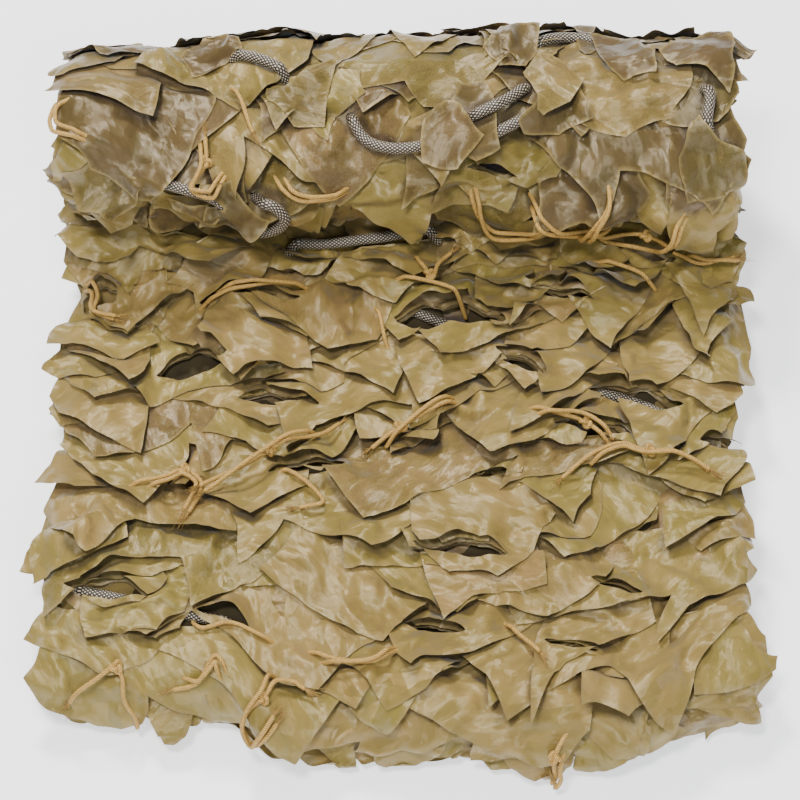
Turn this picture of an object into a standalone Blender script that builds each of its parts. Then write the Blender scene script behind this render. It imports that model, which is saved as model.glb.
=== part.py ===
"""Camouflage netting, folded back and forth in three layers, with the rest of it rolled up on their rear.

The netting is one long ply: a knotted net, thick with the cloth garnish that is tied to it. From its free
end at the front the ply runs back and forth in three layers, curls up at the rear and is wound into a roll.
Strips of scrim cloth, incised so that they open in tongues and leaf-shaped gaps, cover what shows. Twine
ties with free ends hold them, and the braided edge rope comes up between them.

Everything is first built in a straight, even bundle. One smooth field (`settled`) then moves every layer
to where the uneven bundle has it, so that no two layers cross. Ropes and ties are laid on the result.

Metres, +Z up. The origin is on the ground under the bundle. -Y is the front, where the layers end, and the
roll lies along X at the rear.
"""

import functools
import math

import bmesh
import bpy
from mathutils import Vector, noise
from mathutils.bvhtree import BVHTree

# The bundle, before it settles
BUNDLE_WIDTH = 0.500
PLY = 0.0160  # the loft of one garnished ply
PLY_GAP = 0.0020
FREE_END_Y = -0.251
FRONT_FOLD_Y = -0.247
REAR_FOLD_Y = 0.250
ROLL_Y = 0.203
ROLL_RADIUS = 0.072  # from the roll's axis to the middle of the outermost ply, where it leaves the layers
CORE_RADIUS = 0.012
LAYERS = 3
PLY_STATIONS = 10  # steps across the width
LAYER_STEPS = 9
FOLD_STEPS = 5
STEPS_A_TURN = 15
FLAT_SKIN = 0.004  # nothing below this height is lifted, so that the underside stays flat

PITCH = PLY + PLY_GAP
LAY_TOP = (LAYERS - 1) * PITCH + PLY
TOP_LAYER_Z = LAY_TOP - PLY / 2
ROLL_Z = TOP_LAYER_Z + ROLL_RADIUS

# How the bundle settles. Each lump's last number is its seed.
LUMP_HEIGHT = 0.009
LUMP_SIZE = 0.110
LUMP_SEED = 1.7
ROLL_NARROWS = 0.09  # the roll's left end is wound tighter by this share
NARROWS_FROM = 0.12  # shares of half the width, from the middle
NARROWS_OVER = 0.80
ROLL_SWELLS = 0.01  # and its right end is looser
ROLL_LUMP = 0.07
ROLL_LUMP_SIZE = 0.085
ROLL_LUMP_RING = 0.090  # the radius of the ring in the noise that goes once round the roll
ROLL_LUMP_SEED = 3.1
ROLL_BLEND = 0.030  # the height over which the layers' shape gives way to the roll's
ROLL_ENDS = 0.135  # what is this far from the roll's axis no longer moves with it
ROLL_FADES = 0.040
ROLL_BOW = 0.003
SIDE_RAGGED = 0.010
SIDE_SIZE = 0.040
SIDE_STRETCH = 1.6
SIDE_SEED = 5.3
LEFT_RETREATS = 0.030  # how far the front edge falls back at the left corner
LEFT_FROM = 0.085  # from the middle
LEFT_OVER = 0.045
RIGHT_RETREATS = 0.022
RIGHT_FROM = 0.170
RIGHT_OVER = 0.080
RETREAT_FROM_Y = -0.080
RETREAT_REACH = 0.180

# Scrim strips
CLOTH = 0.0016
STRIP_WIDTH = 0.083
STRIP_PITCHES = {"lay": 0.0510, "roll": 0.0508}
STRIP_COLUMNS = 26
STRIP_ROWS = 4
SLIT_ROW = 2
SLIT_HALF_COLUMNS = 2
SLIT_OPENS = 0.010  # half the height of an opened slit
SLIT_LIFTS = 0.003
TONGUE_COLUMNS = 4
TONGUE_DEPTH = 0.30  # of the strip's width
SEAT_GAP = 0.0004  # what is left between a piece and what carries it
SEAT_MARGIN = 0.0002
STRIP_RISE = 0.0030  # how far a strip's front edge stands off what it lies on
STRIP_WAVE = 0.0060
LOWEST = 0.0022  # how low over the ground the middle of a strip's cloth may hang
WAVE_SIZE = 0.045
WAVE_SEED = 2.3
END_TOOTH = 0.012
END_TEETH = 1.6  # along a strip's end
END_SHIFT = 0.31  # from one strip's teeth to the next's
END_REACH = 8  # the higher, the nearer to the end the teeth start
END_SAGS = 0.35
SHARP_ANGLE = 40.0
ON_THE_LINE = 1e-4
LAY_COVER_Y = 0.132  # the strips on the layers start here, in the crevice under the roll
FRONT_RADIUS = LAY_TOP / 2
ROLL_COVER_FROM = -52.0  # degrees round the roll from the rear, where its strips start
ROLL_COVER_RADIUS = ROLL_RADIUS - PITCH / 4 + PLY / 2

# Ropes and ties
ROPE = 0.0095
TWINE = 0.0042
CAST_FROM = 0.026
KNOT = 1.9  # a knot and a frayed end, as shares of the twine's own thickness
FRAY = 1.35
KNOT_REACH = 0.045  # of the tie's length, either way
POINTS_APART = 2.6  # diameters between a cord's points
CURVE_STEPS = 12
NEAR_SHARE = 0.8  # of the way to the next point, over which the height under a point is read
CLOSE_STEPS = 5  # heights read between two points
LIFT_ROUNDS = 40
LIFT_STEP = 0.0003

# Each strip: the places across, in metres from the middle, where an opened slit is centred, and how far
# its left and right ends reach past the bundle.
LAY_STRIPS = (
    # slits across, left overhang, right overhang
    ((-0.100, 0.125), 0.004, 0.016),
    ((-0.140, 0.010, 0.160), 0.014, 0.010),
    ((-0.175, 0.000, 0.165), 0.006, 0.006),
    ((-0.105, 0.040, 0.150), 0.010, 0.012),
    ((-0.180, -0.050, 0.190), 0.006, 0.016),
    ((-0.200, 0.055), 0.016, 0.012),
    ((-0.130, 0.000, 0.120), 0.012, 0.008),
    ((-0.085, 0.100), 0.004, 0.004),
)
ROLL_STRIPS = (
    ((-0.120, 0.090), 0.006, 0.010),
    ((-0.030, 0.170), 0.010, 0.012),
    ((-0.130, 0.060, 0.165), 0.004, 0.014),
    ((-0.160, -0.020, 0.150), 0.006, 0.016),
    ((-0.100, 0.110), 0.008, 0.008),
    ((-0.170, 0.020, 0.180), 0.004, 0.006),
)

# Cords lie on a cover at (x, place): on the layers the place is y, and on the roll it is degrees round it
# from the rear, over the top. Past the front fold, y goes on as the distance over it.
ROPES = {
    # name: (cover, points)
    "rope_roll_hook": ("roll", ((-0.211, 154), (-0.184, 148), (-0.145, 154), (-0.122, 170), (-0.107, 180),
                                (-0.093, 174), (-0.088, 165), (-0.099, 158), (-0.114, 159))),
    "rope_crevice": ("lay", ((-0.092, 0.128), (-0.050, 0.132), (0.000, 0.133), (0.032, 0.131))),
    "rope_roll_middle": ("roll", ((-0.040, 111), (-0.028, 127), (-0.008, 133), (0.019, 132), (0.034, 127))),
    "rope_roll_pair_a": ("roll", ((0.046, 120), (0.076, 112), (0.100, 100))),
    "rope_roll_pair_b": ("roll", ((0.052, 131), (0.080, 123), (0.103, 116))),
    "rope_roll_left": ("roll", ((-0.134, 72), (-0.112, 80), (-0.084, 91))),
    "rope_roll_top": ("roll", ((0.100, 70), (0.122, 61), (0.146, 60), (0.165, 69))),
    "rope_roll_end": ("roll", ((0.233, 95), (0.237, 110), (0.237, 129))),
    "rope_lay_middle": ("lay", ((-0.004, 0.088), (0.024, 0.073), (0.044, 0.062), (0.070, 0.041),
                                (0.087, 0.022), (0.100, 0.009))),
    "rope_lay_right": ("lay", ((0.142, 0.009), (0.180, -0.001), (0.206, -0.013), (0.222, -0.023))),
    "rope_lay_left": ("lay", ((-0.247, -0.187), (-0.209, -0.197), (-0.164, -0.210), (-0.132, -0.218),
                              (-0.116, -0.216))),
}

# The last numbers are the place of a tie's knot, by its number among the points, or None, and whether its
# two ends are free. A free end is frayed.
TIES = {
    # name: (cover, points, knot, first end free, last end free)
    "tie_crevice_drop": ("lay", ((0.012, 0.120), (0.014, 0.108), (0.025, 0.092), (0.030, 0.104),
                                 (0.040, 0.116)), 2, False, True),
    "tie_crevice_cross": ("lay", ((-0.006, 0.094), (0.014, 0.090), (0.037, 0.082), (0.052, 0.072)),
                          None, False, False),
    "tie_crevice_right": ("lay", ((0.216, 0.122), (0.230, 0.114), (0.244, 0.116), (0.256, 0.124)),
                          None, False, True),
    "tie_frayed_left": ("lay", ((-0.252, 0.108), (-0.240, 0.090), (-0.238, 0.076), (-0.222, 0.068)),
                        None, False, True),
    "tie_open_left": ("lay", ((-0.158, 0.080), (-0.128, 0.082), (-0.098, 0.090), (-0.074, 0.100)),
                      None, False, False),
    "tie_opening": ("lay", ((-0.020, 0.079), (-0.016, 0.068), (-0.012, 0.050), (-0.008, 0.041)),
                    None, False, False),
    "tie_right_band": ("lay", ((0.150, 0.109), (0.179, 0.100), (0.196, 0.090)), None, False, False),
    "tie_left_pair": ("lay", ((-0.204, -0.090), (-0.177, -0.083), (-0.161, -0.076), (-0.148, -0.088),
                              (-0.161, -0.113)), 2, False, True),
    "tie_cross": ("lay", ((-0.046, -0.028), (-0.061, -0.044), (-0.083, -0.055), (-0.121, -0.070),
                          (-0.150, -0.092)), 2, True, True),
    "tie_cross_low": ("lay", ((-0.096, -0.070), (-0.077, -0.077), (-0.058, -0.096), (-0.076, -0.102)),
                      None, False, True),
    "tie_middle": ("lay", ((-0.022, -0.048), (0.002, -0.033), (0.022, -0.022), (0.046, -0.010)),
                   1, True, False),
    "tie_right_fork": ("lay", ((0.094, -0.022), (0.116, -0.027), (0.138, -0.031), (0.158, -0.048)),
                       2, False, False),
    "tie_right_long": ("lay", ((0.122, -0.080), (0.142, -0.060), (0.165, -0.052), (0.182, -0.060),
                               (0.208, -0.064), (0.232, -0.076)), 3, True, True),
    "tie_low_left": ("lay", ((-0.149, -0.219), (-0.143, -0.230), (-0.123, -0.223), (-0.102, -0.215),
                             (-0.088, -0.211)), None, False, False),
    "tie_low_hook": ("lay", ((-0.161, -0.271), (-0.146, -0.267), (-0.137, -0.254), (-0.124, -0.263)),
                     None, True, False),
    "tie_low_loop": ("lay", ((-0.069, -0.250), (-0.080, -0.246), (-0.091, -0.248), (-0.099, -0.259),
                             (-0.108, -0.269), (-0.112, -0.280), (-0.108, -0.287), (-0.097, -0.276), (-0.088, -0.266)),
                     3, True, True),
    "tie_low_middle": ("lay", ((-0.069, -0.219), (-0.045, -0.230), (-0.020, -0.234), (0.000, -0.222)),
                       None, False, False),
    "tie_corner": ("lay", ((-0.236, -0.280), (-0.220, -0.266), (-0.208, -0.259), (-0.197, -0.270),
                           (-0.192, -0.285), (-0.196, -0.306)), 2, True, True),
    "tie_front": ("lay", ((0.122, -0.267), (0.109, -0.281), (0.110, -0.297), (0.108, -0.308)),
                  1, False, True),
    "tie_low_right": ("lay", ((0.075, -0.196), (0.087, -0.214), (0.100, -0.230)), None, False, True),
    "tie_roll_left": ("roll", ((-0.250, 102), (-0.256, 110), (-0.250, 119), (-0.234, 126)),
                      None, False, False),
    "tie_roll_drop": ("roll", ((-0.133, 94), (-0.122, 108), (-0.110, 124)), None, False, True),
    "tie_roll_bar": ("roll", ((-0.098, 145), (-0.081, 154), (-0.060, 156), (-0.038, 156)),
                     None, False, False),
    "tie_roll_curl": ("roll", ((-0.146, 125), (-0.149, 138), (-0.156, 148), (-0.140, 152), (-0.132, 144)),
                      1, True, False),
    "tie_roll_middle": ("roll", ((0.052, 154), (0.061, 172), (0.074, 185), (0.096, 180), (0.112, 170)),
                        None, False, False),
    "tie_roll_cross": ("roll", ((0.099, 161), (0.120, 172), (0.143, 185), (0.164, 194)),
                       None, False, True),
    "tie_roll_bow": ("roll", ((0.136, 191), (0.144, 178), (0.153, 166), (0.160, 154)),
                     None, False, False),
    "tie_roll_right": ("roll", ((0.142, 196), (0.168, 197), (0.190, 194), (0.205, 185), (0.221, 168)),
                       2, True, False),
}

CLOTH_COLOUR = (0.300, 0.245, 0.118, 1.0)
NET_COLOUR = (0.190, 0.155, 0.078, 1.0)
TWINE_COLOUR = (0.560, 0.380, 0.150, 1.0)
ROPE_COLOUR = (0.380, 0.350, 0.310, 1.0)


def clear_scene():
    for obj in list(bpy.data.objects):
        bpy.data.objects.remove(obj, do_unlink=True)


def material(name, colour, roughness):
    made = bpy.data.materials.new(name)
    made.use_nodes = True
    shader = made.node_tree.nodes["Principled BSDF"]
    shader.inputs["Base Color"].default_value = colour
    shader.inputs["Roughness"].default_value = roughness
    shader.inputs["Metallic"].default_value = 0.0
    made.diffuse_color = colour
    return made


def smooth_step(share):
    share = min(max(share, 0.0), 1.0)
    return share * share * (3 - 2 * share)


def uneven(x, y, z, size, seed):
    """Smooth noise from -1 to 1, with features of about that size."""
    return noise.noise(Vector((x, y, z)) / size + Vector((seed, 0.37 * seed, -seed)))


# ---------------------------------------------------------------- the settled bundle


def roll_swell(x, angle):
    """How much wider than even the roll is, as a share, at a place across and an angle round it."""
    across = x / (BUNDLE_WIDTH / 2)
    narrows = ROLL_NARROWS * smooth_step((-across - NARROWS_FROM) / NARROWS_OVER)
    ends = ROLL_SWELLS * smooth_step(across) - narrows
    round_y, round_z = ROLL_LUMP_RING * math.cos(angle), ROLL_LUMP_RING * math.sin(angle)
    return ends + ROLL_LUMP * uneven(x, round_y, round_z, ROLL_LUMP_SIZE, ROLL_LUMP_SEED)


def settled(point):
    """Where a point of the straight bundle ends up in the uneven one."""
    x, y, z = point
    # The layers heave, and what lies on them rises and falls with them.
    heave = LUMP_HEIGHT * uneven(x, y, 0, LUMP_SIZE, LUMP_SEED)
    lifted = heave * smooth_step((z - FLAT_SKIN) / (LAY_TOP - FLAT_SKIN))
    # The roll is wound tighter at its left end, and its axis bows.
    away_y, away_z = y - ROLL_Y, z - ROLL_Z
    in_roll = smooth_step((z - LAY_TOP) / ROLL_BLEND)
    in_roll *= smooth_step((ROLL_ENDS - math.hypot(away_y, away_z)) / ROLL_FADES)
    swell = 1 + in_roll * roll_swell(x, math.atan2(away_z, away_y))
    bow = ROLL_BOW * in_roll * math.sin(math.pi * x / BUNDLE_WIDTH)
    new_y = ROLL_Y + away_y * swell + bow
    new_z = ROLL_Z + away_z * swell + lifted
    # The front edge falls back at both corners.
    left = LEFT_RETREATS * smooth_step((-x - LEFT_FROM) / LEFT_OVER)
    right = RIGHT_RETREATS * smooth_step((x - RIGHT_FROM) / RIGHT_OVER)
    new_y += (left + right) * smooth_step((RETREAT_FROM_Y - y) / RETREAT_REACH)
    # The two sides are ragged from layer to layer.
    side = math.copysign(1, x)
    outward = smooth_step(abs(x) / (BUNDLE_WIDTH / 2))
    new_x = x + side * outward * SIDE_RAGGED * uneven(side, y, SIDE_STRETCH * z, SIDE_SIZE, SIDE_SEED)
    return Vector((new_x, new_y, new_z))


def bundle_line():
    """The ply's middle line, (y, z), from its free end to the roll's core."""
    line = []

    def straight(y_from, y_to, z):
        for step in range(LAYER_STEPS + 1):
            line.append((y_from + (y_to - y_from) * step / LAYER_STEPS, z))

    def fold(y, z, turn):
        for step in range(1, FOLD_STEPS):
            angle = -math.pi / 2 + turn * math.pi * step / FOLD_STEPS
            line.append((y + PITCH / 2 * math.cos(angle), z + PITCH / 2 * math.sin(angle)))

    straight(FREE_END_Y, REAR_FOLD_Y, PLY / 2)
    fold(REAR_FOLD_Y, PLY / 2 + PITCH / 2, 1)
    straight(REAR_FOLD_Y, FRONT_FOLD_Y, PLY / 2 + PITCH)
    fold(FRONT_FOLD_Y, PLY / 2 + 1.5 * PITCH, -1)
    straight(FRONT_FOLD_Y, ROLL_Y, TOP_LAYER_Z)
    turned = 1
    while True:
        turns = turned / STEPS_A_TURN
        radius = ROLL_RADIUS - PITCH * turns
        if radius < CORE_RADIUS:
            break
        angle = -math.pi / 2 + 2 * math.pi * turns
        line.append((ROLL_Y + radius * math.cos(angle), ROLL_Z + radius * math.sin(angle)))
        turned += 1
    return line


def sheet(name, columns, rows, thickness, look, prepare, place):
    """A sheet of cloth, as a solid. It starts as a flat grid of columns by rows, one unit square, which
    `prepare` may cut; `place` takes each corner (u across, v along) to its point in the straight bundle."""
    grid = bmesh.new()
    bmesh.ops.create_grid(grid, x_segments=columns, y_segments=rows, size=0.5)
    bmesh.ops.translate(grid, verts=grid.verts, vec=(0.5, 0.5, 0))
    prepare(grid)
    for corner in grid.verts:
        corner.co = place(corner.co.x, corner.co.y, corner.co.z)
    bmesh.ops.recalc_face_normals(grid, faces=grid.faces)
    flat = bpy.data.meshes.new(name)
    grid.to_mesh(flat)
    grid.free()

    obj = bpy.data.objects.new(name, flat)
    netting.objects.link(obj)
    thicken = obj.modifiers.new("thickness", "SOLIDIFY")
    thicken.thickness = thickness
    thicken.offset = 0
    thicken.use_even_offset = thickness == PLY
    bpy.context.view_layer.update()
    solid = bpy.data.meshes.new_from_object(obj.evaluated_get(bpy.context.evaluated_depsgraph_get()))
    obj.modifiers.clear()
    obj.data = solid
    bpy.data.meshes.remove(flat)
    solid.name = name
    for vertex in solid.vertices:
        vertex.co = settled(vertex.co)
    facets = bmesh.new()
    facets.from_mesh(solid)
    bmesh.ops.triangulate(facets, faces=facets.faces)
    facets.to_mesh(solid)
    facets.free()
    solid.materials.append(look)
    solid.shade_smooth()
    solid.set_sharp_from_angle(angle=math.radians(SHARP_ANGLE))
    return obj


def make_bundle():
    line = bundle_line()
    last = len(line) - 1

    def place(u, v, _):
        y, z = line[round(v * last)]
        return Vector(((u - 0.5) * BUNDLE_WIDTH, y, z))

    return sheet("net_bundle", PLY_STATIONS, last, PLY, net_look, lambda grid: None, place)


# ---------------------------------------------------------------- the covers that strips and cords lie on


def lay_cover(along):
    """(y, z) of the layers' top and (y, z) of the way out, so far along from the crevice to the front."""
    level = LAY_COVER_Y - FRONT_FOLD_Y
    if along <= level:
        return (LAY_COVER_Y - along, LAY_TOP), (0.0, 1.0)
    angle = math.pi / 2 + (along - level) / FRONT_RADIUS
    out = (math.cos(angle), math.sin(angle))
    return (FRONT_FOLD_Y + FRONT_RADIUS * out[0], FRONT_RADIUS + FRONT_RADIUS * out[1]), out


def roll_cover(along):
    """The same on the roll, from its rear, over the top and down its front."""
    angle = math.radians(ROLL_COVER_FROM) + along / ROLL_COVER_RADIUS
    turns = (angle + math.pi / 2) / (2 * math.pi)
    radius = ROLL_RADIUS - PITCH * turns + PLY / 2
    out = (math.cos(angle), math.sin(angle))
    return (ROLL_Y + radius * out[0], ROLL_Z + radius * out[1]), out


COVERS = {"lay": lay_cover, "roll": roll_cover}


def on_cover(cover, x, along, height):
    """A point of the straight bundle at a height over one of the covers."""
    (y, z), (out_y, out_z) = COVERS[cover](along)
    return Vector((x, y + height * out_y, z + height * out_z))


def distance_along(cover, place):
    if cover == "lay":
        return LAY_COVER_Y - place
    return math.radians(place - ROLL_COVER_FROM) * ROLL_COVER_RADIUS


def height_over(cover, x, along, laid):
    """How high over a cover the pieces laid so far reach there."""
    base = settled(on_cover(cover, x, along, 0.0))
    above = settled(on_cover(cover, x, along, CAST_FROM))
    down = (base - above).normalized()
    highest = 0.0
    for tree in laid:
        hit = tree.ray_cast(above, down, CAST_FROM)[0]
        if hit is not None:
            highest = max(highest, (hit - base).length)
    return highest


# ---------------------------------------------------------------- scrim strips


def tongue_notch(u, shift):
    """0 at the tips of the front edge's tongues and 1 in the notches between them."""
    columns = u * STRIP_COLUMNS + shift
    return abs(2 * ((columns / TONGUE_COLUMNS) % 1) - 1)


def cut_slits(grid, centres, width):
    """Parts the grid along its slit row at each centre, and opens each cut like a leaf."""
    row = SLIT_ROW / STRIP_ROWS
    reach = SLIT_HALF_COLUMNS / STRIP_COLUMNS
    for centre in centres:
        middle = round((centre / width + 0.5) * STRIP_COLUMNS) / STRIP_COLUMNS
        near = [
            edge
            for edge in grid.edges
            if all(
                abs(end.co.y - row) < ON_THE_LINE and abs(end.co.x - middle) < reach + ON_THE_LINE
                for end in edge.verts
            )
        ]
        bmesh.ops.split_edges(grid, edges=near)
        for corner in grid.verts:
            share = 1 - (abs(corner.co.x - middle) / reach) ** 2
            if abs(corner.co.y - row) > ON_THE_LINE or share < ON_THE_LINE:
                continue
            ahead = sum(face.calc_center_median().y - row for face in corner.link_faces) > 0
            corner.co.y += (1 if ahead else -1) * share * SLIT_OPENS / STRIP_WIDTH
            corner.co.z = share * SLIT_LIFTS if ahead else 0.0


def make_strip(name, cover, number, slits, left_over, right_over, beneath, sink):
    """A strip, from its straight rear edge (v = 0) to its tongues (v = 1). `beneath` gives the height of
    what is under it, and it is let down by `sink`."""
    width = BUNDLE_WIDTH + left_over + right_over
    shift = (number * 3) % TONGUE_COLUMNS
    row = STRIP_WIDTH / STRIP_ROWS
    bend = row**2 / 8 / (ROLL_COVER_RADIUS if cover == "roll" else FRONT_RADIUS + CLOTH)

    def place(u, v, lift):
        tooth = END_TOOTH * abs(2 * ((END_TEETH * v + END_SHIFT * number) % 1) - 1)
        x = -BUNDLE_WIDTH / 2 - left_over + width * u
        x -= math.copysign(tooth * abs(2 * u - 1) ** END_REACH, x)
        start = number * STRIP_PITCHES[cover]
        along = start + STRIP_WIDTH * v * (1 - TONGUE_DEPTH * v * tongue_notch(u, shift))
        bent = cover == "roll" or along > LAY_COVER_Y - FRONT_FOLD_Y - row
        wave = STRIP_WAVE * (0.5 + 0.5 * uneven(x, along, 0, WAVE_SIZE, WAVE_SEED + number))
        beyond = max(0.0, abs(x) - BUNDLE_WIDTH / 2)
        height = beneath(x, along) + CLOTH / 2 + bend * bent - sink
        height += v * (STRIP_RISE + wave) + lift - END_SAGS * beyond * v
        point = on_cover(cover, x, along, height)
        point.z = max(point.z, LOWEST)
        return point

    def prepare(grid):
        cut_slits(grid, slits, width)

    return sheet(name, STRIP_COLUMNS, STRIP_ROWS, CLOTH, cloth_look, prepare, place)


def narrowest_gap(obj, laid):
    """The distance from a strip's corners, edges and faces to what is laid."""
    corners = [vertex.co for vertex in obj.data.vertices]
    spots = corners + [face.center for face in obj.data.polygons]
    spots += [(corners[first] + corners[last]) / 2 for first, last in obj.data.edge_keys]
    return min(tree.find_nearest(spot)[3] for spot in spots for tree in laid)


def seated_strip(name, cover, number, slits, left_over, right_over, laid):
    """A strip that is let down until it all but touches what is laid."""
    column = (BUNDLE_WIDTH + left_over + right_over) / STRIP_COLUMNS
    row = STRIP_WIDTH / STRIP_ROWS

    @functools.cache
    def beneath(x, along):
        return max(
            height_over(cover, x + across * column / 2, max(0.0, along + ahead * row / 2), laid)
            for across in range(-2, 3)
            for ahead in range(-2, 3)
        )

    def made(sink):
        return make_strip(name, cover, number, slits, left_over, right_over, beneath, sink)

    strip = made(0.0)
    sink = narrowest_gap(strip, laid) - SEAT_GAP
    while True:
        bpy.data.meshes.remove(strip.data)
        strip = made(sink + SEAT_MARGIN)
        meets = any(tree_of(strip).overlap(tree) for tree in laid)
        bpy.data.meshes.remove(strip.data)
        strip = made(sink)
        if not meets:
            return strip
        sink -= SEAT_MARGIN


# ---------------------------------------------------------------- ropes and ties


def smooth_route(points, spacing):
    """Evenly spaced points on a smooth curve through the given ones."""
    ends = [2 * points[0] - points[1], *points, 2 * points[-1] - points[-2]]
    fine = []
    for a, b, c, d in zip(ends, ends[1:], ends[2:], ends[3:]):
        for step in range(CURVE_STEPS):
            t = step / CURVE_STEPS
            bend = (2 * a - 5 * b + 4 * c - d) * t**2 + (3 * b - 3 * c + d - a) * t**3
            fine.append((2 * b + (c - a) * t + bend) / 2)
    fine.append(points[-1])
    lengths = [0.0]
    for first, second in zip(fine, fine[1:]):
        lengths.append(lengths[-1] + (second - first).length)
    count = max(2, round(lengths[-1] / spacing))
    route, index = [], 0
    for number in range(count + 1):
        wanted = lengths[-1] * number / count
        while index < len(fine) - 2 and lengths[index + 1] < wanted:
            index += 1
        span = lengths[index + 1] - lengths[index]
        share = (wanted - lengths[index]) / span if span > 0 else 0.0
        route.append(fine[index].lerp(fine[index + 1], min(share, 1.0)))
    return route


def room_under(line, radii, number, laid):
    """How far the stretch of a cord from one point to the next is from what is laid."""
    rooms = []
    for step in range(CLOSE_STEPS + 1):
        share = step / CLOSE_STEPS
        spot = line[number].lerp(line[number + 1], share)
        radius = radii[number] + (radii[number + 1] - radii[number]) * share
        rooms += [tree.find_nearest(spot)[3] - radius for tree in laid]
    return min(rooms)


def lay_cord(name, cover, places, diameter, look, laid, thick_at):
    """A cord that lies on what is under it. thick_at gives its thickness, as a share, from one end (0) to
    the other (1)."""
    flat = [Vector((x, distance_along(cover, place), 0)) for x, place in places]
    route = smooth_route(flat, POINTS_APART * diameter)
    close = smooth_route(flat, POINTS_APART * diameter / CLOSE_STEPS)
    thicks = [thick_at(number / (len(route) - 1)) for number in range(len(route))]
    radii = [thick * diameter / 2 for thick in thicks]
    heights = []
    for spot, radius in zip(route, radii):
        near = [other for other in close if (other - spot).length < POINTS_APART * diameter * NEAR_SHARE]
        sides = ((0, 0), (radius, 0), (-radius, 0), (0, radius), (0, -radius))
        spots = [(other.x + side, other.y + ahead) for other in near for side, ahead in sides]
        beneath = max(height_over(cover, x, along, laid) for x, along in spots)
        heights.append(beneath + radius + SEAT_GAP)
    stretches = range(len(route) - 1)
    for _ in range(LIFT_ROUNDS):
        line = [settled(on_cover(cover, spot.x, spot.y, height)) for spot, height in zip(route, heights)]
        touching = [number for number in stretches if room_under(line, radii, number, laid) < SEAT_GAP]
        for number in {end for first in touching for end in (first, first + 1)}:
            heights[number] += LIFT_STEP
    sink = min(room_under(line, radii, number, laid) for number in stretches) - SEAT_GAP
    line = [settled(on_cover(cover, spot.x, spot.y, height - sink)) for spot, height in zip(route, heights)]

    spine = bpy.data.curves.new(name, "CURVE")
    spine.dimensions = "3D"
    spine.bevel_depth = diameter / 2
    spine.bevel_resolution = 2
    spine.use_fill_caps = True
    tube = spine.splines.new("POLY")
    tube.points.add(len(route) - 1)
    for corner, point, thick in zip(tube.points, line, thicks):
        corner.co = (*point, 1)
        corner.radius = thick
    obj = bpy.data.objects.new(name, spine)
    netting.objects.link(obj)
    spine.materials.append(look)
    bpy.context.view_layer.update()
    return obj


def tree_of(obj):
    evaluated = obj.evaluated_get(bpy.context.evaluated_depsgraph_get())
    mesh = evaluated.to_mesh()
    corners = [vertex.co.copy() for vertex in mesh.vertices]
    tree = BVHTree.FromPolygons(corners, [tuple(face.vertices) for face in mesh.polygons])
    evaluated.to_mesh_clear()
    return tree


def tie_thickness(points, knot, first_free, last_free):
    def thick_at(share):
        if first_free and share == 0 or last_free and share == 1:
            return FRAY
        if knot is not None and abs(share - knot / (points - 1)) < KNOT_REACH:
            return KNOT
        return 1.0

    return thick_at


# ---------------------------------------------------------------- the whole

clear_scene()
netting = bpy.data.collections.new("camouflage_netting")
bpy.context.scene.collection.children.link(netting)
net_look = material("net", NET_COLOUR, 0.85)
cloth_look = material("scrim", CLOTH_COLOUR, 0.45)
twine_look = material("twine", TWINE_COLOUR, 0.85)
rope_look = material("rope", ROPE_COLOUR, 0.40)

bundle = tree_of(make_bundle())
laid = [bundle]
for cover, strips in (("lay", LAY_STRIPS), ("roll", ROLL_STRIPS)):
    # The lowest is laid first, and each strip's tongues cover the rear edge of the one below.
    under = [bundle]
    for number, (slits, left_over, right_over) in reversed(list(enumerate(strips))):
        name = f"scrim_{cover}_{number + 1}"
        strip = seated_strip(name, cover, number, slits, left_over, right_over, under)
        under.append(tree_of(strip))
    laid += under[1:]

for name, (cover, places) in ROPES.items():
    rope = lay_cord(name, cover, places, ROPE, rope_look, laid, lambda share: 1.0)
    laid.append(tree_of(rope))
for name, (cover, places, knot, first_free, last_free) in TIES.items():
    thick_at = tie_thickness(len(places), knot, first_free, last_free)
    tie = lay_cord(name, cover, places, TWINE, twine_look, laid, thick_at)
    laid.append(tree_of(tie))
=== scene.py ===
"""The looks of the camouflage netting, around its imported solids.

The solids are one ply that is folded in three layers and wound into a roll, strips of scrim cloth over it,
and ropes and ties. Here each strip becomes the incised leaves of cloth that it stands for: every leaf is
cut to its outline and draped over what lies beneath it, in a flat chart of the place that it covers, and
is then carried to that place by the same field that shapes the solids.
"""

import functools
import math

import bpy
import numpy as np
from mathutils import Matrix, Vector, noise
from mathutils.geometry import delaunay_2d_cdt


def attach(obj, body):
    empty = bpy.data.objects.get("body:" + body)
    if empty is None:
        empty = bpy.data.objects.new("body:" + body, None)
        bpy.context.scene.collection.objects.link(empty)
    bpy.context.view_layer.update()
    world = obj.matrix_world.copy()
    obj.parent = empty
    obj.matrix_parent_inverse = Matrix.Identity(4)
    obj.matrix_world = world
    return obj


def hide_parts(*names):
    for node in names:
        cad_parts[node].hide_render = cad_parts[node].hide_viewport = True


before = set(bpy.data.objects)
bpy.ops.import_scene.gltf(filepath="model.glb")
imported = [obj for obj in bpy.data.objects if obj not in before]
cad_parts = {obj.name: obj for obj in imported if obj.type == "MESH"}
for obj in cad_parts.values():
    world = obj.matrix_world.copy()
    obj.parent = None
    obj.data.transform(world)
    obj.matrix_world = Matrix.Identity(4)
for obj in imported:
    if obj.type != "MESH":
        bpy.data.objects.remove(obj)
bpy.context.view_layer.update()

# ---------------------------------------------------------------- the solids' own sizes

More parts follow.
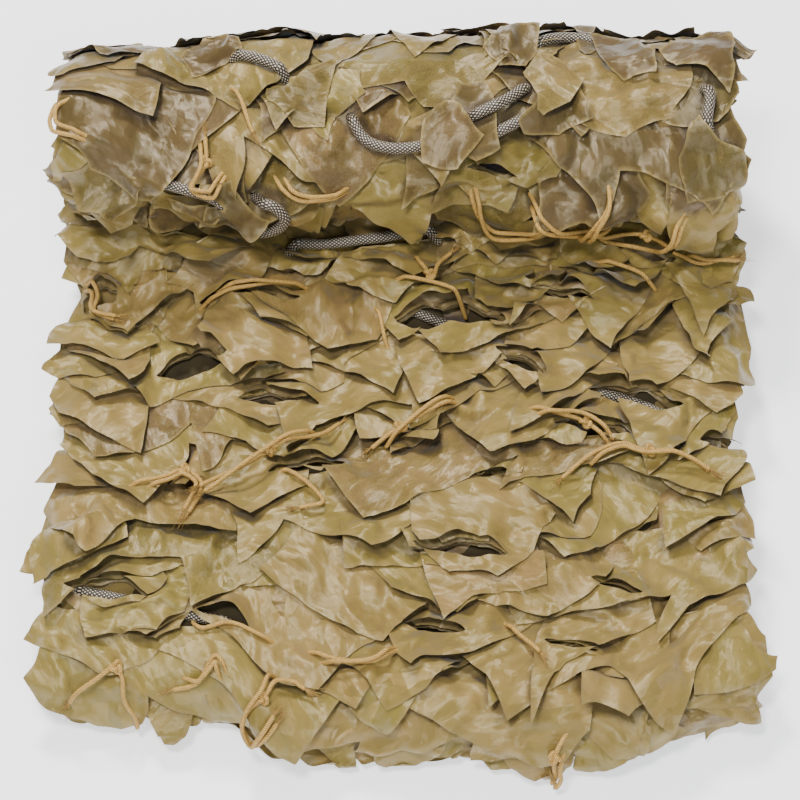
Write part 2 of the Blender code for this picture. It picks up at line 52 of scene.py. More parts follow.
BUNDLE_WIDTH = 0.500
PLY = 0.0160  # the loft of one garnished ply
PLY_GAP = 0.0020
FREE_END_Y = -0.251
FRONT_FOLD_Y = -0.247
REAR_FOLD_Y = 0.250
ROLL_Y = 0.203
ROLL_RADIUS = 0.072
CORE_RADIUS = 0.012
LAYERS = 3
FLAT_SKIN = 0.004
PITCH = PLY + PLY_GAP
LAY_TOP = (LAYERS - 1) * PITCH + PLY
TOP_LAYER_Z = LAY_TOP - PLY / 2
ROLL_Z = TOP_LAYER_Z + ROLL_RADIUS

# How the bundle settles. Each lump's last number is its seed.
LUMP_HEIGHT = 0.009
LUMP_SIZE = 0.110
LUMP_SEED = 1.7
ROLL_NARROWS = 0.09
NARROWS_FROM = 0.12  # shares of half the width, from the middle
NARROWS_OVER = 0.80
ROLL_SWELLS = 0.01
ROLL_LUMP = 0.07
ROLL_LUMP_SIZE = 0.085
ROLL_LUMP_RING = 0.090
ROLL_LUMP_SEED = 3.1
ROLL_BLEND = 0.030
ROLL_ENDS = 0.135
ROLL_FADES = 0.040
ROLL_BOW = 0.003
SIDE_RAGGED = 0.010
SIDE_SIZE = 0.040
SIDE_STRETCH = 1.6
SIDE_SEED = 5.3
LEFT_RETREATS = 0.030
LEFT_FROM = 0.085
LEFT_OVER = 0.045
RIGHT_RETREATS = 0.022
RIGHT_FROM = 0.170
RIGHT_OVER = 0.080
RETREAT_FROM_Y = -0.080
RETREAT_REACH = 0.180

STRIP_PITCHES = {"lay": 0.0510, "roll": 0.0508}
LAY_COVER_Y = 0.132
FRONT_RADIUS = LAY_TOP / 2
ROLL_COVER_FROM = -52.0
ROLL_COVER_RADIUS = ROLL_RADIUS - PITCH / 4 + PLY / 2

ROPE = 0.0095
TWINE = 0.0042

# ---------------------------------------------------------------- the settled bundle


def smooth_step(share):
    share = np.clip(share, 0.0, 1.0)
    return share * share * (3 - 2 * share)


def run_along(line):
    """How far each point of a line is from its start."""
    return np.concatenate(([0], np.cumsum(np.linalg.norm(np.diff(line, axis=0), axis=1))))


def evenly_spaced(line, spacing):
    """A flat line's evenly spaced points, and how far each is from its start."""
    run = run_along(line)
    wanted = np.linspace(0, run[-1], max(2, round(run[-1] / spacing)) + 1)
    return np.stack([np.interp(wanted, run, line[:, axis]) for axis in (0, 1)], axis=-1), wanted


def uneven(x, y, z, size, seed):
    """Smooth noise from -1 to 1 at each point, with features of about that size."""
    x, y, z = np.broadcast_arrays(x, y, z)
    points = np.stack((x / size + seed, y / size + 0.37 * seed, z / size - seed), axis=-1).reshape(-1, 3)
    return np.array([noise.noise(point) for point in points.tolist()]).reshape(x.shape)


def roll_swell(x, angle):
    """How much wider than even the roll is, as a share."""
    across = x / (BUNDLE_WIDTH / 2)
    narrows = ROLL_NARROWS * smooth_step((-across - NARROWS_FROM) / NARROWS_OVER)
    ends = ROLL_SWELLS * smooth_step(across) - narrows
    round_y, round_z = ROLL_LUMP_RING * np.cos(angle), ROLL_LUMP_RING * np.sin(angle)
    return ends + ROLL_LUMP * uneven(x, round_y, round_z, ROLL_LUMP_SIZE, ROLL_LUMP_SEED)


def settled(x, y, z):
    """Where points of the straight bundle end up in the uneven one, as the solids have it."""
    heave = LUMP_HEIGHT * uneven(x, y, 0 * x, LUMP_SIZE, LUMP_SEED)
    lifted = heave * smooth_step((z - FLAT_SKIN) / (LAY_TOP - FLAT_SKIN))
    away_y, away_z = y - ROLL_Y, z - ROLL_Z
    in_roll = smooth_step((z - LAY_TOP) / ROLL_BLEND)
    in_roll = in_roll * smooth_step((ROLL_ENDS - np.hypot(away_y, away_z)) / ROLL_FADES)
    swell = 1 + in_roll * roll_swell(x, np.arctan2(away_z, away_y))
    bow = ROLL_BOW * in_roll * np.sin(np.pi * x / BUNDLE_WIDTH)
    new_y = ROLL_Y + away_y * swell + bow
    new_z = ROLL_Z + away_z * swell + lifted
    left = LEFT_RETREATS * smooth_step((-x - LEFT_FROM) / LEFT_OVER)
    right = RIGHT_RETREATS * smooth_step((x - RIGHT_FROM) / RIGHT_OVER)
    new_y = new_y + (left + right) * smooth_step((RETREAT_FROM_Y - y) / RETREAT_REACH)
    side = np.where(x < 0, -1.0, 1.0)
    outward = smooth_step(np.abs(x) / (BUNDLE_WIDTH / 2))
    new_x = x + side * outward * SIDE_RAGGED * uneven(side, y, SIDE_STRETCH * z, SIDE_SIZE, SIDE_SEED)
    return np.stack((new_x, new_y, new_z), axis=-1)


# ---------------------------------------------------------------- charts of the places that cloth covers

CELL = 0.002
CHART_HALF = 0.300
CHART_MARGIN = 0.030
SIDE_EDGE = 0.246  # where cloth that reaches past the side starts to bend down over it
SIDE_BEND = 0.016
DROOP_SIZE = 0.045
DROOP_SHARE, DROOP_VARIES = 0.75, 0.5
PILE_TO, PILE_OVER = 0.036, 0.046  # where the cloth behind is heaped
WINDOW_CELLS = 3  # round a leaf
FRONT_SLOPE = math.radians(80)
TOE_RADIUS = 0.008
FLOOR_GAP = 0.0012
TINY = 1e-6
REAR_START_Y = 0.225
REAR_TOP = LAY_TOP - PITCH
REAR_RADIUS = REAR_TOP / 2


def lay_line(along):
    """The layers' top from the crevice to the front, over the edge and out on the ground: y, z, out."""
    return over_edge(LAY_COVER_Y, -1.0, LAY_COVER_Y - FRONT_FOLD_Y, LAY_TOP, FRONT_RADIUS, along)


def rear_line(along):
    """The same over the rear fold."""
    return over_edge(REAR_START_Y, 1.0, REAR_FOLD_Y - REAR_START_Y, REAR_TOP, REAR_RADIUS, along)


def over_edge(start, way, level, top, radius, along):
    """A level stretch, a round edge, a steep fall and a round toe that runs out on the ground."""
    fall = top - radius * (1 - math.cos(FRONT_SLOPE)) - TOE_RADIUS * (1 - math.cos(FRONT_SLOPE)) - FLOOR_GAP
    steep = fall / math.sin(FRONT_SLOPE)
    lengths = np.cumsum([level, radius * FRONT_SLOPE, steep, TOE_RADIUS * FRONT_SLOPE])
    forward = np.minimum(along, lengths[0])
    drop = np.zeros_like(along)
    slope = np.clip((along - lengths[0]) / radius, 0, FRONT_SLOPE)
    forward = forward + radius * np.sin(slope)
    drop = drop + radius * (1 - np.cos(slope))
    down = np.clip(along - lengths[1], 0, steep)
    forward = forward + down * math.cos(FRONT_SLOPE)
    drop = drop + down * math.sin(FRONT_SLOPE)
    back = np.clip((along - lengths[2]) / TOE_RADIUS, 0, FRONT_SLOPE)
    forward = forward + TOE_RADIUS * (math.sin(FRONT_SLOPE) - np.sin(FRONT_SLOPE - back))
    drop = drop + TOE_RADIUS * (np.cos(FRONT_SLOPE - back) - math.cos(FRONT_SLOPE))
    forward = forward + np.maximum(0, along - lengths[3])
    slope = slope - back
    return start + way * forward, top - drop, way * np.sin(slope), np.cos(slope)


def roll_line(along):
    """The roll's outside, from its rear, over the top and down its front."""
    angle = math.radians(ROLL_COVER_FROM) + along / ROLL_COVER_RADIUS
    turns = (angle + np.pi / 2) / (2 * np.pi)
    radius = ROLL_RADIUS - PITCH * turns + PLY / 2
    return ROLL_Y + radius * np.cos(angle), ROLL_Z + radius * np.sin(angle), np.cos(angle), np.sin(angle)


def steps_along(level, *steps):
    """A level, with smooth steps added to it: how much each adds, where it starts and over what length."""
    def value(along):
        added = [rise * smooth_step((along - start) / length) for rise, start, length in steps]
        return level + sum(added, 0 * along)

    return value


class Chart:
    """A place that cloth covers, laid out flat: x across it, and the distance along a line. It keeps the
    height that the cloth laid so far reaches over the ply."""

    def __init__(self, line, length, droop, seed, lenses=(), front=False, tints=(0.35, 1.0), pile=0.0,
                 gathered=(0.0,), shadow=(0.0,)):
        self.line, self.droop, self.seed, self.front = line, droop, seed, front
        self.tints, self.pile = tints, pile
        self.gathered = steps_along(*gathered)  # how high the folds stand across it
        self.shadow = steps_along(*shadow)  # painted shade: how much darker the cloth is painted there
        self.lenses = [Lens(*numbers) for numbers in lenses]
        self.columns = round(2 * CHART_HALF / CELL) + 1
        self.rows = round((length + 2 * CHART_MARGIN) / CELL) + 1
        self.height = np.zeros((self.columns, self.rows))
        self.top = np.full((self.columns, self.rows), -1)

    def place(self, x, along, height):
        """Takes chart points to the uneven bundle."""
        height = height + self.pile * smooth_step((PILE_TO - along) / PILE_OVER)
        y, z, out_y, out_z = self.line(along)
        past = np.abs(x) - SIDE_EDGE
        varied = uneven(np.sign(x), along, 0 * x, DROOP_SIZE, self.seed)
        most = self.droop * (DROOP_SHARE + DROOP_VARIES * varied)
        bend = np.clip(past / SIDE_BEND, 0, most)
        rest = np.maximum(past, 0) - SIDE_BEND * bend
        reach = np.minimum(np.abs(x), SIDE_EDGE) + SIDE_BEND * np.sin(bend) + rest * np.cos(bend)
        drop = SIDE_BEND * (1 - np.cos(bend)) + rest * np.sin(bend)
        up = height * np.cos(bend) - drop
        new = settled(np.sign(x) * (reach + height * np.sin(bend)), y + up * out_y, z + up * out_z)
        new[..., 2] = np.maximum(new[..., 2], FLOOR_GAP / 2)
        return new

    def window(self, outline):
        """The cells round an outline, and their middles."""
        outline = (outline + (CHART_HALF, CHART_MARGIN)) / CELL
        low = np.maximum(np.floor(outline.min(axis=0)).astype(int) - WINDOW_CELLS, 0)
        high = np.ceil(outline.max(axis=0)).astype(int) + WINDOW_CELLS + 1
        high = np.minimum(high, (self.columns, self.rows))
        x = np.arange(low[0], high[0]) * CELL - CHART_HALF
        along = np.arange(low[1], high[1]) * CELL - CHART_MARGIN
        return (slice(low[0], high[0]), slice(low[1], high[1])), *np.meshgrid(x, along, indexing="ij")


def read_grid(grid, x, along, x_start, along_start):
    """The value between a grid's cells."""
    u = np.clip((x - x_start) / CELL, 0, grid.shape[0] - 1.001)
    v = np.clip((along - along_start) / CELL, 0, grid.shape[1] - 1.001)
    i, j = u.astype(int), v.astype(int)
    p, q = u - i, v - j
    near = grid[i, j] * (1 - p) + grid[i + 1, j] * p
    far = grid[i, j + 1] * (1 - p) + grid[i + 1, j + 1] * p
    return near * (1 - q) + far * q


def blur(grid, mask, sigma):
    """A grid smoothed over so many cells, from the cells in the mask alone."""
    def weights(count):
        index = np.arange(count)
        return np.exp(-0.5 * ((index[:, None] - index[None, :]) / sigma) ** 2)

    across, along = weights(grid.shape[0]), weights(grid.shape[1])
    total = across @ (grid * mask) @ along
    share = across @ mask.astype(float) @ along
    return total / np.maximum(share, TINY)


def widened(grid, mask, cells):
    """The highest value within so many cells."""
    low = np.where(mask, grid, 0.0)
    best = low.copy()
    for i in range(-cells, cells + 1):
        for j in range(-cells, cells + 1):
            if i * i + j * j > cells * cells + 1:
                continue
            moved = np.roll(np.roll(low, i, axis=0), j, axis=1)
            best = np.maximum(best, moved)
    return best


# ---------------------------------------------------------------- crumpled cloth

TILE = 256
TILE_CELL = 0.002
WAVE_SPREAD = 0.45  # how far a soft field's waves differ, as a share
FOLD_LIMITS = (-2.1, 1.7)
SWELL_HEIGHT = 0.0009
FOLD_HEIGHT = 0.0024
FACET_HEIGHT = 0.0011
FACETS_SHOW, FACETS_VARY = 0.6, 0.8  # how much of the facets there is, and how the swells change it
FOLD_SHIFT, FACET_SHIFT, PLEAT_SHIFT = 0.004, 0.003, 0.006  # how far the swells bend the others
PLEAT_STRETCH = (0.30, 1.7)
PLEAT_DROP = 0.2


def noise_tile(rng, wave):
    """A repeating field with soft features of that length and a spread of 1."""
    freq = np.fft.fftfreq(TILE, TILE_CELL)
    radius = np.hypot(freq[:, None], freq[None, :])
    band = np.exp(-(((radius * wave - 1) / WAVE_SPREAD) ** 2))
    field = np.fft.ifft2(np.fft.fft2(rng.standard_normal((TILE, TILE))) * band).real
    return field / field.std()


def crease_tile(rng, size):
    """A repeating field of flat facets of about that size, that meet in creases, as in crushed cloth."""
    whole = TILE * TILE_CELL
    count = round(whole / size)
    i, j = np.meshgrid(np.arange(count), np.arange(count), indexing="ij")
    spots = np.stack((i.ravel(), j.ravel()), axis=-1) + rng.uniform(0.02, 0.98, (count * count, 2))
    spots = spots * whole / count
    rise = rng.standard_normal(count * count)
    shifts = [(across * whole, down * whole) for across in (-1, 0, 1) for down in (-1, 0, 1)]
    found = delaunay_2d_cdt([Vector(p) for shift in shifts for p in spots + shift], [], [], 0, TINY)
    spots = np.array([tuple(p) for p in found[0]]) / TILE_CELL
    rise = np.tile(rise, len(shifts))[[same[0] for same in found[3]]]
    field = np.zeros((TILE, TILE))
    for face in found[2]:
        (ax, ay), (bx, by), (cx, cy) = spots[list(face)]
        low_x, high_x = max(0, math.ceil(min(ax, bx, cx))), min(TILE - 1, math.floor(max(ax, bx, cx)))
        low_y, high_y = max(0, math.ceil(min(ay, by, cy))), min(TILE - 1, math.floor(max(ay, by, cy)))
        whole_area = (bx - ax) * (cy - ay) - (by - ay) * (cx - ax)
        if low_x > high_x or low_y > high_y or abs(whole_area) < 1e-9:
            continue
        x, y = np.meshgrid(np.arange(low_x, high_x + 1), np.arange(low_y, high_y + 1), indexing="ij")
        second = ((x - ax) * (cy - ay) - (y - ay) * (cx - ax)) / whole_area
        third = ((bx - ax) * (y - ay) - (by - ay) * (x - ax)) / whole_area
        first = 1 - second - third
        cells = slice(low_x, high_x + 1), slice(low_y, high_y + 1)
        inner = (first > -TINY) & (second > -TINY) & (third > -TINY)
        value = first * rise[face[0]] + second * rise[face[1]] + third * rise[face[2]]
        field[cells] = np.where(inner, value, field[cells])
    return np.clip((field - field.mean()) / field.std(), *FOLD_LIMITS)


def read_tile(field, x, along):
    u, v = np.mod(x / TILE_CELL, TILE), np.mod(along / TILE_CELL, TILE)
    i, j = u.astype(int) % TILE, v.astype(int) % TILE
    p, q = u - np.floor(u), v - np.floor(v)
    i1, j1 = (i + 1) % TILE, (j + 1) % TILE
    near = field[i, j] * (1 - p) + field[i1, j] * p
    far = field[i, j1] * (1 - p) + field[i1, j1] * p
    return near * (1 - q) + far * q


tile_rng = np.random.default_rng(20)
SWELLS = noise_tile(tile_rng, 0.046)
DENTS = noise_tile(tile_rng, 0.013)
CURLS = noise_tile(tile_rng, 0.028)
FOLDS = crease_tile(tile_rng, 0.036)
FACETS = crease_tile(tile_rng, 0.015)


def crumple(x, along):
    """The relief of slack cloth, in metres, about zero."""
    swell = read_tile(SWELLS, x, along)
    folds = read_tile(FOLDS, x + FOLD_SHIFT * swell, along)
    facets = read_tile(FACETS, x, along + FACET_SHIFT * swell)
    facets = facets * np.clip(FACETS_SHOW + FACETS_VARY * swell, 0, 2)
    return SWELL_HEIGHT * swell + FOLD_HEIGHT * folds + FACET_HEIGHT * facets


def pleats(x, along):
    """Narrow folds that run across, where the cloth is gathered."""
    wide, narrow = PLEAT_STRETCH
    shifted = along * narrow + PLEAT_SHIFT * read_tile(SWELLS, x, along)
    return read_tile(FOLDS, wide * x, shifted) - PLEAT_DROP


# ---------------------------------------------------------------- openings

LENS_STEP = 0.0023
LIP_REACH = 0.014
LENS_TOOTH = 0.017
LENS_BEHIND, LENS_FRONT = (1.30, 0.6), (0.60, -0.5)  # how far a slit opens there, and how skewed it is


class Lens:
    """A slit in the cloth that has been pulled open: its rear lip arches up over the gap."""

    def __init__(self, x, along, width, height, turn, lip):
        self.x, self.along, self.half_width, self.half_height = x, along, width / 2, height / 2
        self.cos, self.sin, self.lip = math.cos(turn), math.sin(turn), lip
        self.skew = math.sin(900 * x + 500 * along)

    def local(self, x, along):
        dx, da = x - self.x, along - self.along
        return dx * self.cos + da * self.sin, da * self.cos - dx * self.sin

    def opens(self, u, behind):
        """How far the slit reaches from its middle line, in front of it or behind it."""
        most, skew = LENS_BEHIND if behind else LENS_FRONT
        share = u / self.half_width
        skewed = np.maximum(0, 1 - share**2) * (1 + skew * share * self.skew)
        steps = u / LENS_TOOTH + 7 * self.skew + (0.4 if behind else 0)
        torn = 1 + 0.5 * (np.abs(steps % 2 - 1) - 0.5) + 0.7 * (np.abs(0.37 * steps % 2 - 1) - 0.5)
        return self.half_height * most * skewed * torn

    def holds(self, x, along):
        u, v = self.local(x, along)
        return (v < self.opens(u, False)) & (-v < self.opens(u, True))

    def raises(self, x, along):
        u, v = self.local(x, along)
        behind = -v - self.opens(u, True)
        bow = np.maximum(0, 1 - (u / (1.15 * self.half_width)) ** 2)
        return self.lip * bow * np.where(behind > -LENS_STEP / 3, np.exp(-((behind / LIP_REACH) ** 2)), 0)

    def loop(self):
        count = max(6, round(2 * self.half_width / LENS_STEP))
        u = np.linspace(-self.half_width, self.half_width, count + 1)
        there = np.stack((u, self.opens(u, False)), axis=-1)
        back = np.stack((u, -self.opens(u, True)), axis=-1)[1:-1][::-1]
        spots = np.concatenate((there, back))
        turn = np.array(((self.cos, self.sin), (-self.sin, self.cos)))
        return spots @ turn + (self.x, self.along)

    def reaches(self, low, high):
        size = self.half_width + LIP_REACH
        reaches_x = low[0] < self.x + size and high[0] > self.x - size
        return reaches_x and low[1] < self.along + size and high[1] > self.along - size


# ---------------------------------------------------------------- leaves

LEAF_STEP = 0.0025  # between a leaf's points
ROW_SHARE = 0.87  # between its rows of points, as a share of that
EDGE_SHARE = 0.55  # between its edge and its inner points
LEAF_CLEAR = 0.0006
SEEN_AREA = 0.00012
RIM_FADES = 0.0007
# painted shade: leaves on the layers near the roll are darkened, where its shadow falls
REAR_PAINTED_SHADE = 0.05
REAR_TO, REAR_OVER = 0.20, 0.16
DARK_LEAF = 0.45
DARK_SHARE = 0.16
SLACK = (0.75, 1.45)  # times the usual relief
CURL_HEIGHT = 0.0018
CURL_REACH = 0.006
CURLS_SHOW, CURLS_VARY = 0.35, 0.6
TIP_FROM, TIP_OVER, TIP_POWER = 0.30, 0.70, 1.5  # how a leaf lifts towards its tip, in shares of its length
SHOWN_GAIN, SHOWN_LESS = 1.6, 0.3
# Sizes, shifts along the chart and turns to draw from. Bands' and singles' lengths are shares of the row's.
BAND_WIDTHS, BAND_LENGTHS = (0.14, 0.27), (0.88, 1.12)
BAND_SHIFTS, BAND_TURN = (-0.010, 0.010), 0.10
BAND_LEANS, LEAN_SWAPS = (0.3, 1.2), 0.35
SINGLE_WIDTHS, SINGLE_LENGTHS = (0.050, 0.090), (0.72, 1.05)
SINGLE_SHIFTS, SINGLE_TURN = (-0.012, 0.020), 0.5
LOOSE_WIDTHS, LOOSE_LENGTHS = (0.070, 0.120), (0.075, 0.130)
LOOSE_SHIFTS, LOOSE_TURN = (0.02, 0.07), 1.1
SIDE_WIDTHS, SIDE_LENGTHS = (0.045, 0.075), (0.070, 0.100)
SIDE_SHIFTS, SIDE_TURNS = (0.01, 0.08), (0.9, 1.7)
CAP_WIDTHS, CAP_LENGTHS, CAP_TURN = (0.040, 0.056), (0.044, 0.058), 0.35
# Across: how far outside a side the first band starts, how far inside the other no more do, how far past it
# the last may reach, and how far inside the sides single and loose pieces stay
ROW_STARTS, ROW_ENDS, BAND_PAST = (0.005, 0.03), 0.03, 0.012
SINGLE_INSET, LOOSE_INSET = 0.008, 0.035
CAP_COVERS = 0.016
CAP_LIFT = 0.001
CAP_NUMBERS = 10000
OVERHANG_FROM = 0.252
OVERHANG_SHRINKS = 0.40
FRONT_FROM = 0.432
FRONT_RIGHT = 0.012
FRONT_RIGHT_FROM, FRONT_RIGHT_OVER = 0.10, 0.12
FRONT_SHRINKS = 0.45

# Outlines, from the base (0) to the tip (1), across from -0.5 to 0.5
LEAF_KINDS = {
    "tongue": ((-0.46, 0.0), (-0.50, 0.50), (-0.30, 0.84), (0.02, 1.0), (0.34, 0.80), (0.50, 0.42),
               (0.44, 0.0)),
    "kite": ((-0.22, 0.0), (-0.50, 0.38), (-0.38, 0.66), (0.06, 1.0), (0.50, 0.52), (0.30, 0.02)),
    "hook": ((-0.44, 0.0), (-0.50, 0.46), (-0.20, 0.94), (0.00, 1.0), (0.10, 0.70), (0.50, 0.40),
             (0.46, 0.0)),
    "vee": ((-0.46, 0.0), (-0.50, 0.34), (-0.08, 0.92), (0.06, 1.0), (0.50, 0.36), (0.48, 0.0)),
    "square": ((-0.40, 0.0), (-0.50, 0.74), (-0.08, 1.0), (0.46, 0.80), (0.42, 0.30), (0.50, 0.0)),
    "long": ((-0.30, 0.0), (-0.50, 0.22), (-0.42, 0.62), (-0.10, 1.0), (0.24, 0.82), (0.50, 0.50),
             (0.36, 0.10)),
}
BAND_CORNER = 0.012  # how far in a band's rear corners are
BAND_BULGE = 0.016
BAND_LAP = 0.025
NOTCH_LEAST = 0.006
EDGE_WOBBLE, EDGE_WAVE = 0.0007, 0.009
SIDE_SPOTS = (0.195, 0.215)
SINGLES_TURN_FROM, SINGLES_TURN_BY = 0.19, 7.0  # towards the sides, in radians for each metre
SOFT_CELLS, FINE_CELLS, SHOWN_CELLS = 3.2, 1.2, 2.0  # how far the heights and what shows are smoothed
# Painted shade in the hollows between higher cloth, standing in for the shade that falls there
HOLLOW_ROUNDS = 4
HOLLOW_SHADE = 0.46
HOLLOW_FROM = 0.0003
HOLLOW_DEPTH = 0.0045
ROW_APART = 0.024
LIFTS = (0.0, 0.002, 0.004, 0.009, 0.015)
LIFT_ODDS = (0.22, 0.22, 0.26, 0.20, 0.10)


def leaf_corners(kind, width, length, rng):
    corners = np.array(LEAF_KINDS[kind]) * (width, length)
    if rng.random() < 0.5:
        corners = corners[::-1] * (-1, 1)
    return corners + rng.normal(0, 0.03 * width, corners.shape)


def band_corners(width, length, lean, teeth, rng):
    """A length of garnish: uncut behind, its front edge cut into points about so far apart."""
    count = max(2, round(width / (teeth * rng.uniform(0.8, 1.25))))
    pitch = width / count
    half = width / 2
    left = [(BAND_CORNER - half, 0.0)]
    left.append((-half - rng.uniform(0.0, BAND_BULGE), length * rng.uniform(0.25, 0.5)))
    right = [(half + rng.uniform(0.0, BAND_BULGE), length * rng.uniform(0.25, 0.5))]
    right.append((half - BAND_CORNER, 0.0))
    front = []
    for number in range(count):
        middle = -half + (number + 0.5) * pitch
        tip = middle + pitch * (0.30 * lean + rng.uniform(-0.14, 0.14))
        front.append((tip, length * rng.uniform(0.82, 1.16)))
        if rng.random() < 0.45:
            front.append((tip + pitch * rng.uniform(0.16, 0.30), length * rng.uniform(0.74, 0.88)))
        if number < count - 1:
            notch = middle + pitch * (0.5 - 0.24 * lean + rng.uniform(-0.08, 0.08))
            front.append((max(notch, front[-1][0] + NOTCH_LEAST), length * rng.uniform(0.34, 0.74)))
    return np.array(left + front + right)


def cut_edges(corners, rng):
    """Evenly stepped edges from corner to corner, each with a slight bow."""
    steps = []
    for first, last in zip(corners, np.roll(corners, -1, axis=0)):
        way = last - first
        size = np.hypot(*way)
        count = max(2, round(size / LEAF_STEP))
        share = np.arange(count) / count
        bow = rng.normal(0, 0.045) * size * 4 * share * (1 - share)
        wobble = EDGE_WOBBLE * np.sin(share * np.pi) * np.sin(share * size / EDGE_WAVE + rng.random() * 6)
        aside = np.array((way[1], -way[0])) / size
        steps.append(first + share[:, None] * way + (bow + wobble)[:, None] * aside)
    return np.concatenate(steps)


def inside(outline, x, along):
    """Which points lie within an outline."""
    found = np.zeros(x.shape, dtype=bool)
    for (x0, y0), (x1, y1) in zip(outline, np.roll(outline, -1, axis=0)):
        if y0 == y1:
            continue
        crosses = (y0 > along) != (y1 > along)
        found ^= crosses & (x < (x1 - x0) * (along - y0) / (y1 - y0) + x0)
    return found


def distance_to(outline, x, along):
    """How far points are from an outline."""
    near = np.full(x.shape, 9.0)
    for (x0, y0), (x1, y1) in zip(outline, np.roll(outline, -1, axis=0)):
        wx, wy = x1 - x0, y1 - y0
        share = np.clip(((x - x0) * wx + (along - y0) * wy) / (wx * wx + wy * wy), 0, 1)
        near = np.minimum(near, np.hypot(x - x0 - share * wx, along - y0 - share * wy))
    return near


class Leaf:
    """One cut piece of cloth. Its base is at a chart point and its tip points along, turned by an angle."""

    def __init__(self, chart, group, row, corners, angle, base, lifts, rng):
        self.chart, self.group, self.row = chart, group, row
        self.lift_at = np.linspace(corners[:, 0].min(), corners[:, 0].max(), len(lifts))
        self.lifts = lifts
        self.length = corners[:, 1].max()
        self.base = np.array(base)
        self.cos, self.sin = math.cos(angle), math.sin(angle)
        turn = np.array(((self.cos, self.sin), (-self.sin, self.cos)))
        self.outline = cut_edges(corners, rng) @ turn + self.base
        past = np.maximum(0, np.abs(self.outline[:, 0]) - OVERHANG_FROM)
        self.outline[:, 0] -= np.sign(self.outline[:, 0]) * past * OVERHANG_SHRINKS
        if chart.front:
            right = smooth_step((self.outline[:, 0] - FRONT_RIGHT_FROM) / FRONT_RIGHT_OVER)
            limit = FRONT_FROM - FRONT_RIGHT * right
            past = np.maximum(0, self.outline[:, 1] - limit)
            self.outline[:, 1] -= past * FRONT_SHRINKS
        self.offset = rng.random(2) * 0.5
        self.grain = rng.random() * math.pi
        self.tint = chart.tints[0] + (chart.tints[1] - chart.tints[0]) * rng.random()
        self.tint -= DARK_LEAF * (rng.random() < DARK_SHARE)
        # painted shade on the layers near the roll
        self.tint -= REAR_PAINTED_SHADE * smooth_step((REAR_TO - base[1]) / REAR_OVER) if chart.front else 0
        self.slack = rng.uniform(*SLACK)
        self.cells, self.x, self.along = chart.window(self.outline)
        low, high = self.outline.min(axis=0), self.outline.max(axis=0)
        self.lenses = [lens for lens in chart.lenses if lens.reaches(low, high)]
        self.mask = self.covers(self.x, self.along)

    def covers(self, x, along):
        """Which points lie on the leaf, and not in an opening."""
        found = inside(self.outline, x, along)
        for lens in self.lenses:
            found &= ~lens.holds(x, along)
        return found

    def triangles(self, loops):
        """The leaf's flat points and faces, within the loops of its edges."""
        low, high = self.outline.min(axis=0), self.outline.max(axis=0)
        rows = np.arange(low[1], high[1], LEAF_STEP * ROW_SHARE)
        x, along = np.meshgrid(np.arange(low[0], high[0], LEAF_STEP), rows)
        x = (x + (np.arange(len(rows)) % 2)[:, None] * LEAF_STEP / 2).ravel()
        along = along.ravel()
        keep = self.covers(x, along)
        for loop in loops:
            keep[keep] = distance_to(loop, x[keep], along[keep]) > LEAF_STEP * EDGE_SHARE
        points, edges = [], []
        for loop in loops:
            first, count = len(points), len(loop)
            points += loop.tolist()
            edges += [(first + number, first + (number + 1) % count) for number in range(count)]
        points += np.stack((x[keep], along[keep]), axis=-1).tolist()
        found = delaunay_2d_cdt([Vector(p) for p in points], edges, [], 0, TINY)
        flat = np.array([tuple(p) for p in found[0]])
        faces = np.array([tuple(face) for face in found[2]])
        faces = faces[self.covers(*flat[faces].mean(axis=1).T)]
        used, faces = np.unique(faces, return_inverse=True)
        return flat[used], faces.reshape(-1, 3)

    def relief(self, x, along, edge, shown):
        c, s = math.cos(self.grain), math.sin(self.grain)
        u = x * c + along * s + self.offset[0]
        v = (along * c - x * s) * 0.85 + self.offset[1]
        dx, da = x - self.base[0], along - self.base[1]
        across, forward = dx * self.cos + da * self.sin, (da * self.cos - dx * self.sin) / self.length
        lift = np.interp(across, self.lift_at, self.lifts)
        tip = smooth_step((forward - TIP_FROM) / TIP_OVER) ** TIP_POWER * lift
        curl = np.clip(CURLS_SHOW + CURLS_VARY * read_tile(CURLS, u, v), 0, 2) * np.exp(-edge / CURL_REACH)
        lips = sum((lens.raises(x, along) for lens in self.lenses), 0 * x)
        folds = self.chart.gathered(along) * pleats(x + self.offset[0], along + self.offset[1])
        return self.slack * crumple(u, v) + folds + shown * (tip + CURL_HEIGHT * curl + lips)

    def drape(self):
        """Lays the leaf on the cloth under it and raises the chart by it."""
        chart, mask = self.chart, self.mask
        under = chart.height[self.cells]
        soft = blur(widened(under, mask, 2), mask, SOFT_CELLS)
        soft = blur(np.maximum(soft, np.where(mask, under, 0)), mask, FINE_CELLS)
        visible = (chart.top[self.cells] == self.number).astype(float)
        shown = smooth_step(SHOWN_GAIN * blur(visible, mask, SHOWN_CELLS) - SHOWN_LESS)
        corner = (self.x[0, 0], self.along[0, 0])

        loops = [self.outline] + [lens.loop() for lens in self.lenses]
        flat, self.faces = self.triangles(loops)
        x, along = flat[:, 0], flat[:, 1]
        edge = np.minimum.reduce([distance_to(loop, x, along) for loop in loops])
        rests, laid, seen = (read_grid(grid, x, along, *corner) for grid in (soft, under, shown))
        raised = np.maximum(rests + self.relief(x, along, edge, seen), laid) + LEAF_CLEAR
        self.points = chart.place(x, along, raised)
        self.flat, self.raised = flat, raised
        # paler cut edges: their own colour, partly a painted highlight
        self.rim = np.exp(-edge / RIM_FADES)
        # painted shade from the chart, by the crevice and on the roll's underside
        self.painted_shade = chart.shadow(along)
        a, b, c = (flat[self.faces[:, corner]] for corner in range(3))
        self.area = np.abs((b - a)[:, 0] * (c - a)[:, 1] - (b - a)[:, 1] * (c - a)[:, 0]).sum() / 2
        edge = distance_to(self.outline[::2], self.x, self.along)
        height = np.maximum(soft + self.relief(self.x, self.along, edge, shown), under) + 2 * LEAF_CLEAR
        chart.height[self.cells] = np.where(mask, height, under)


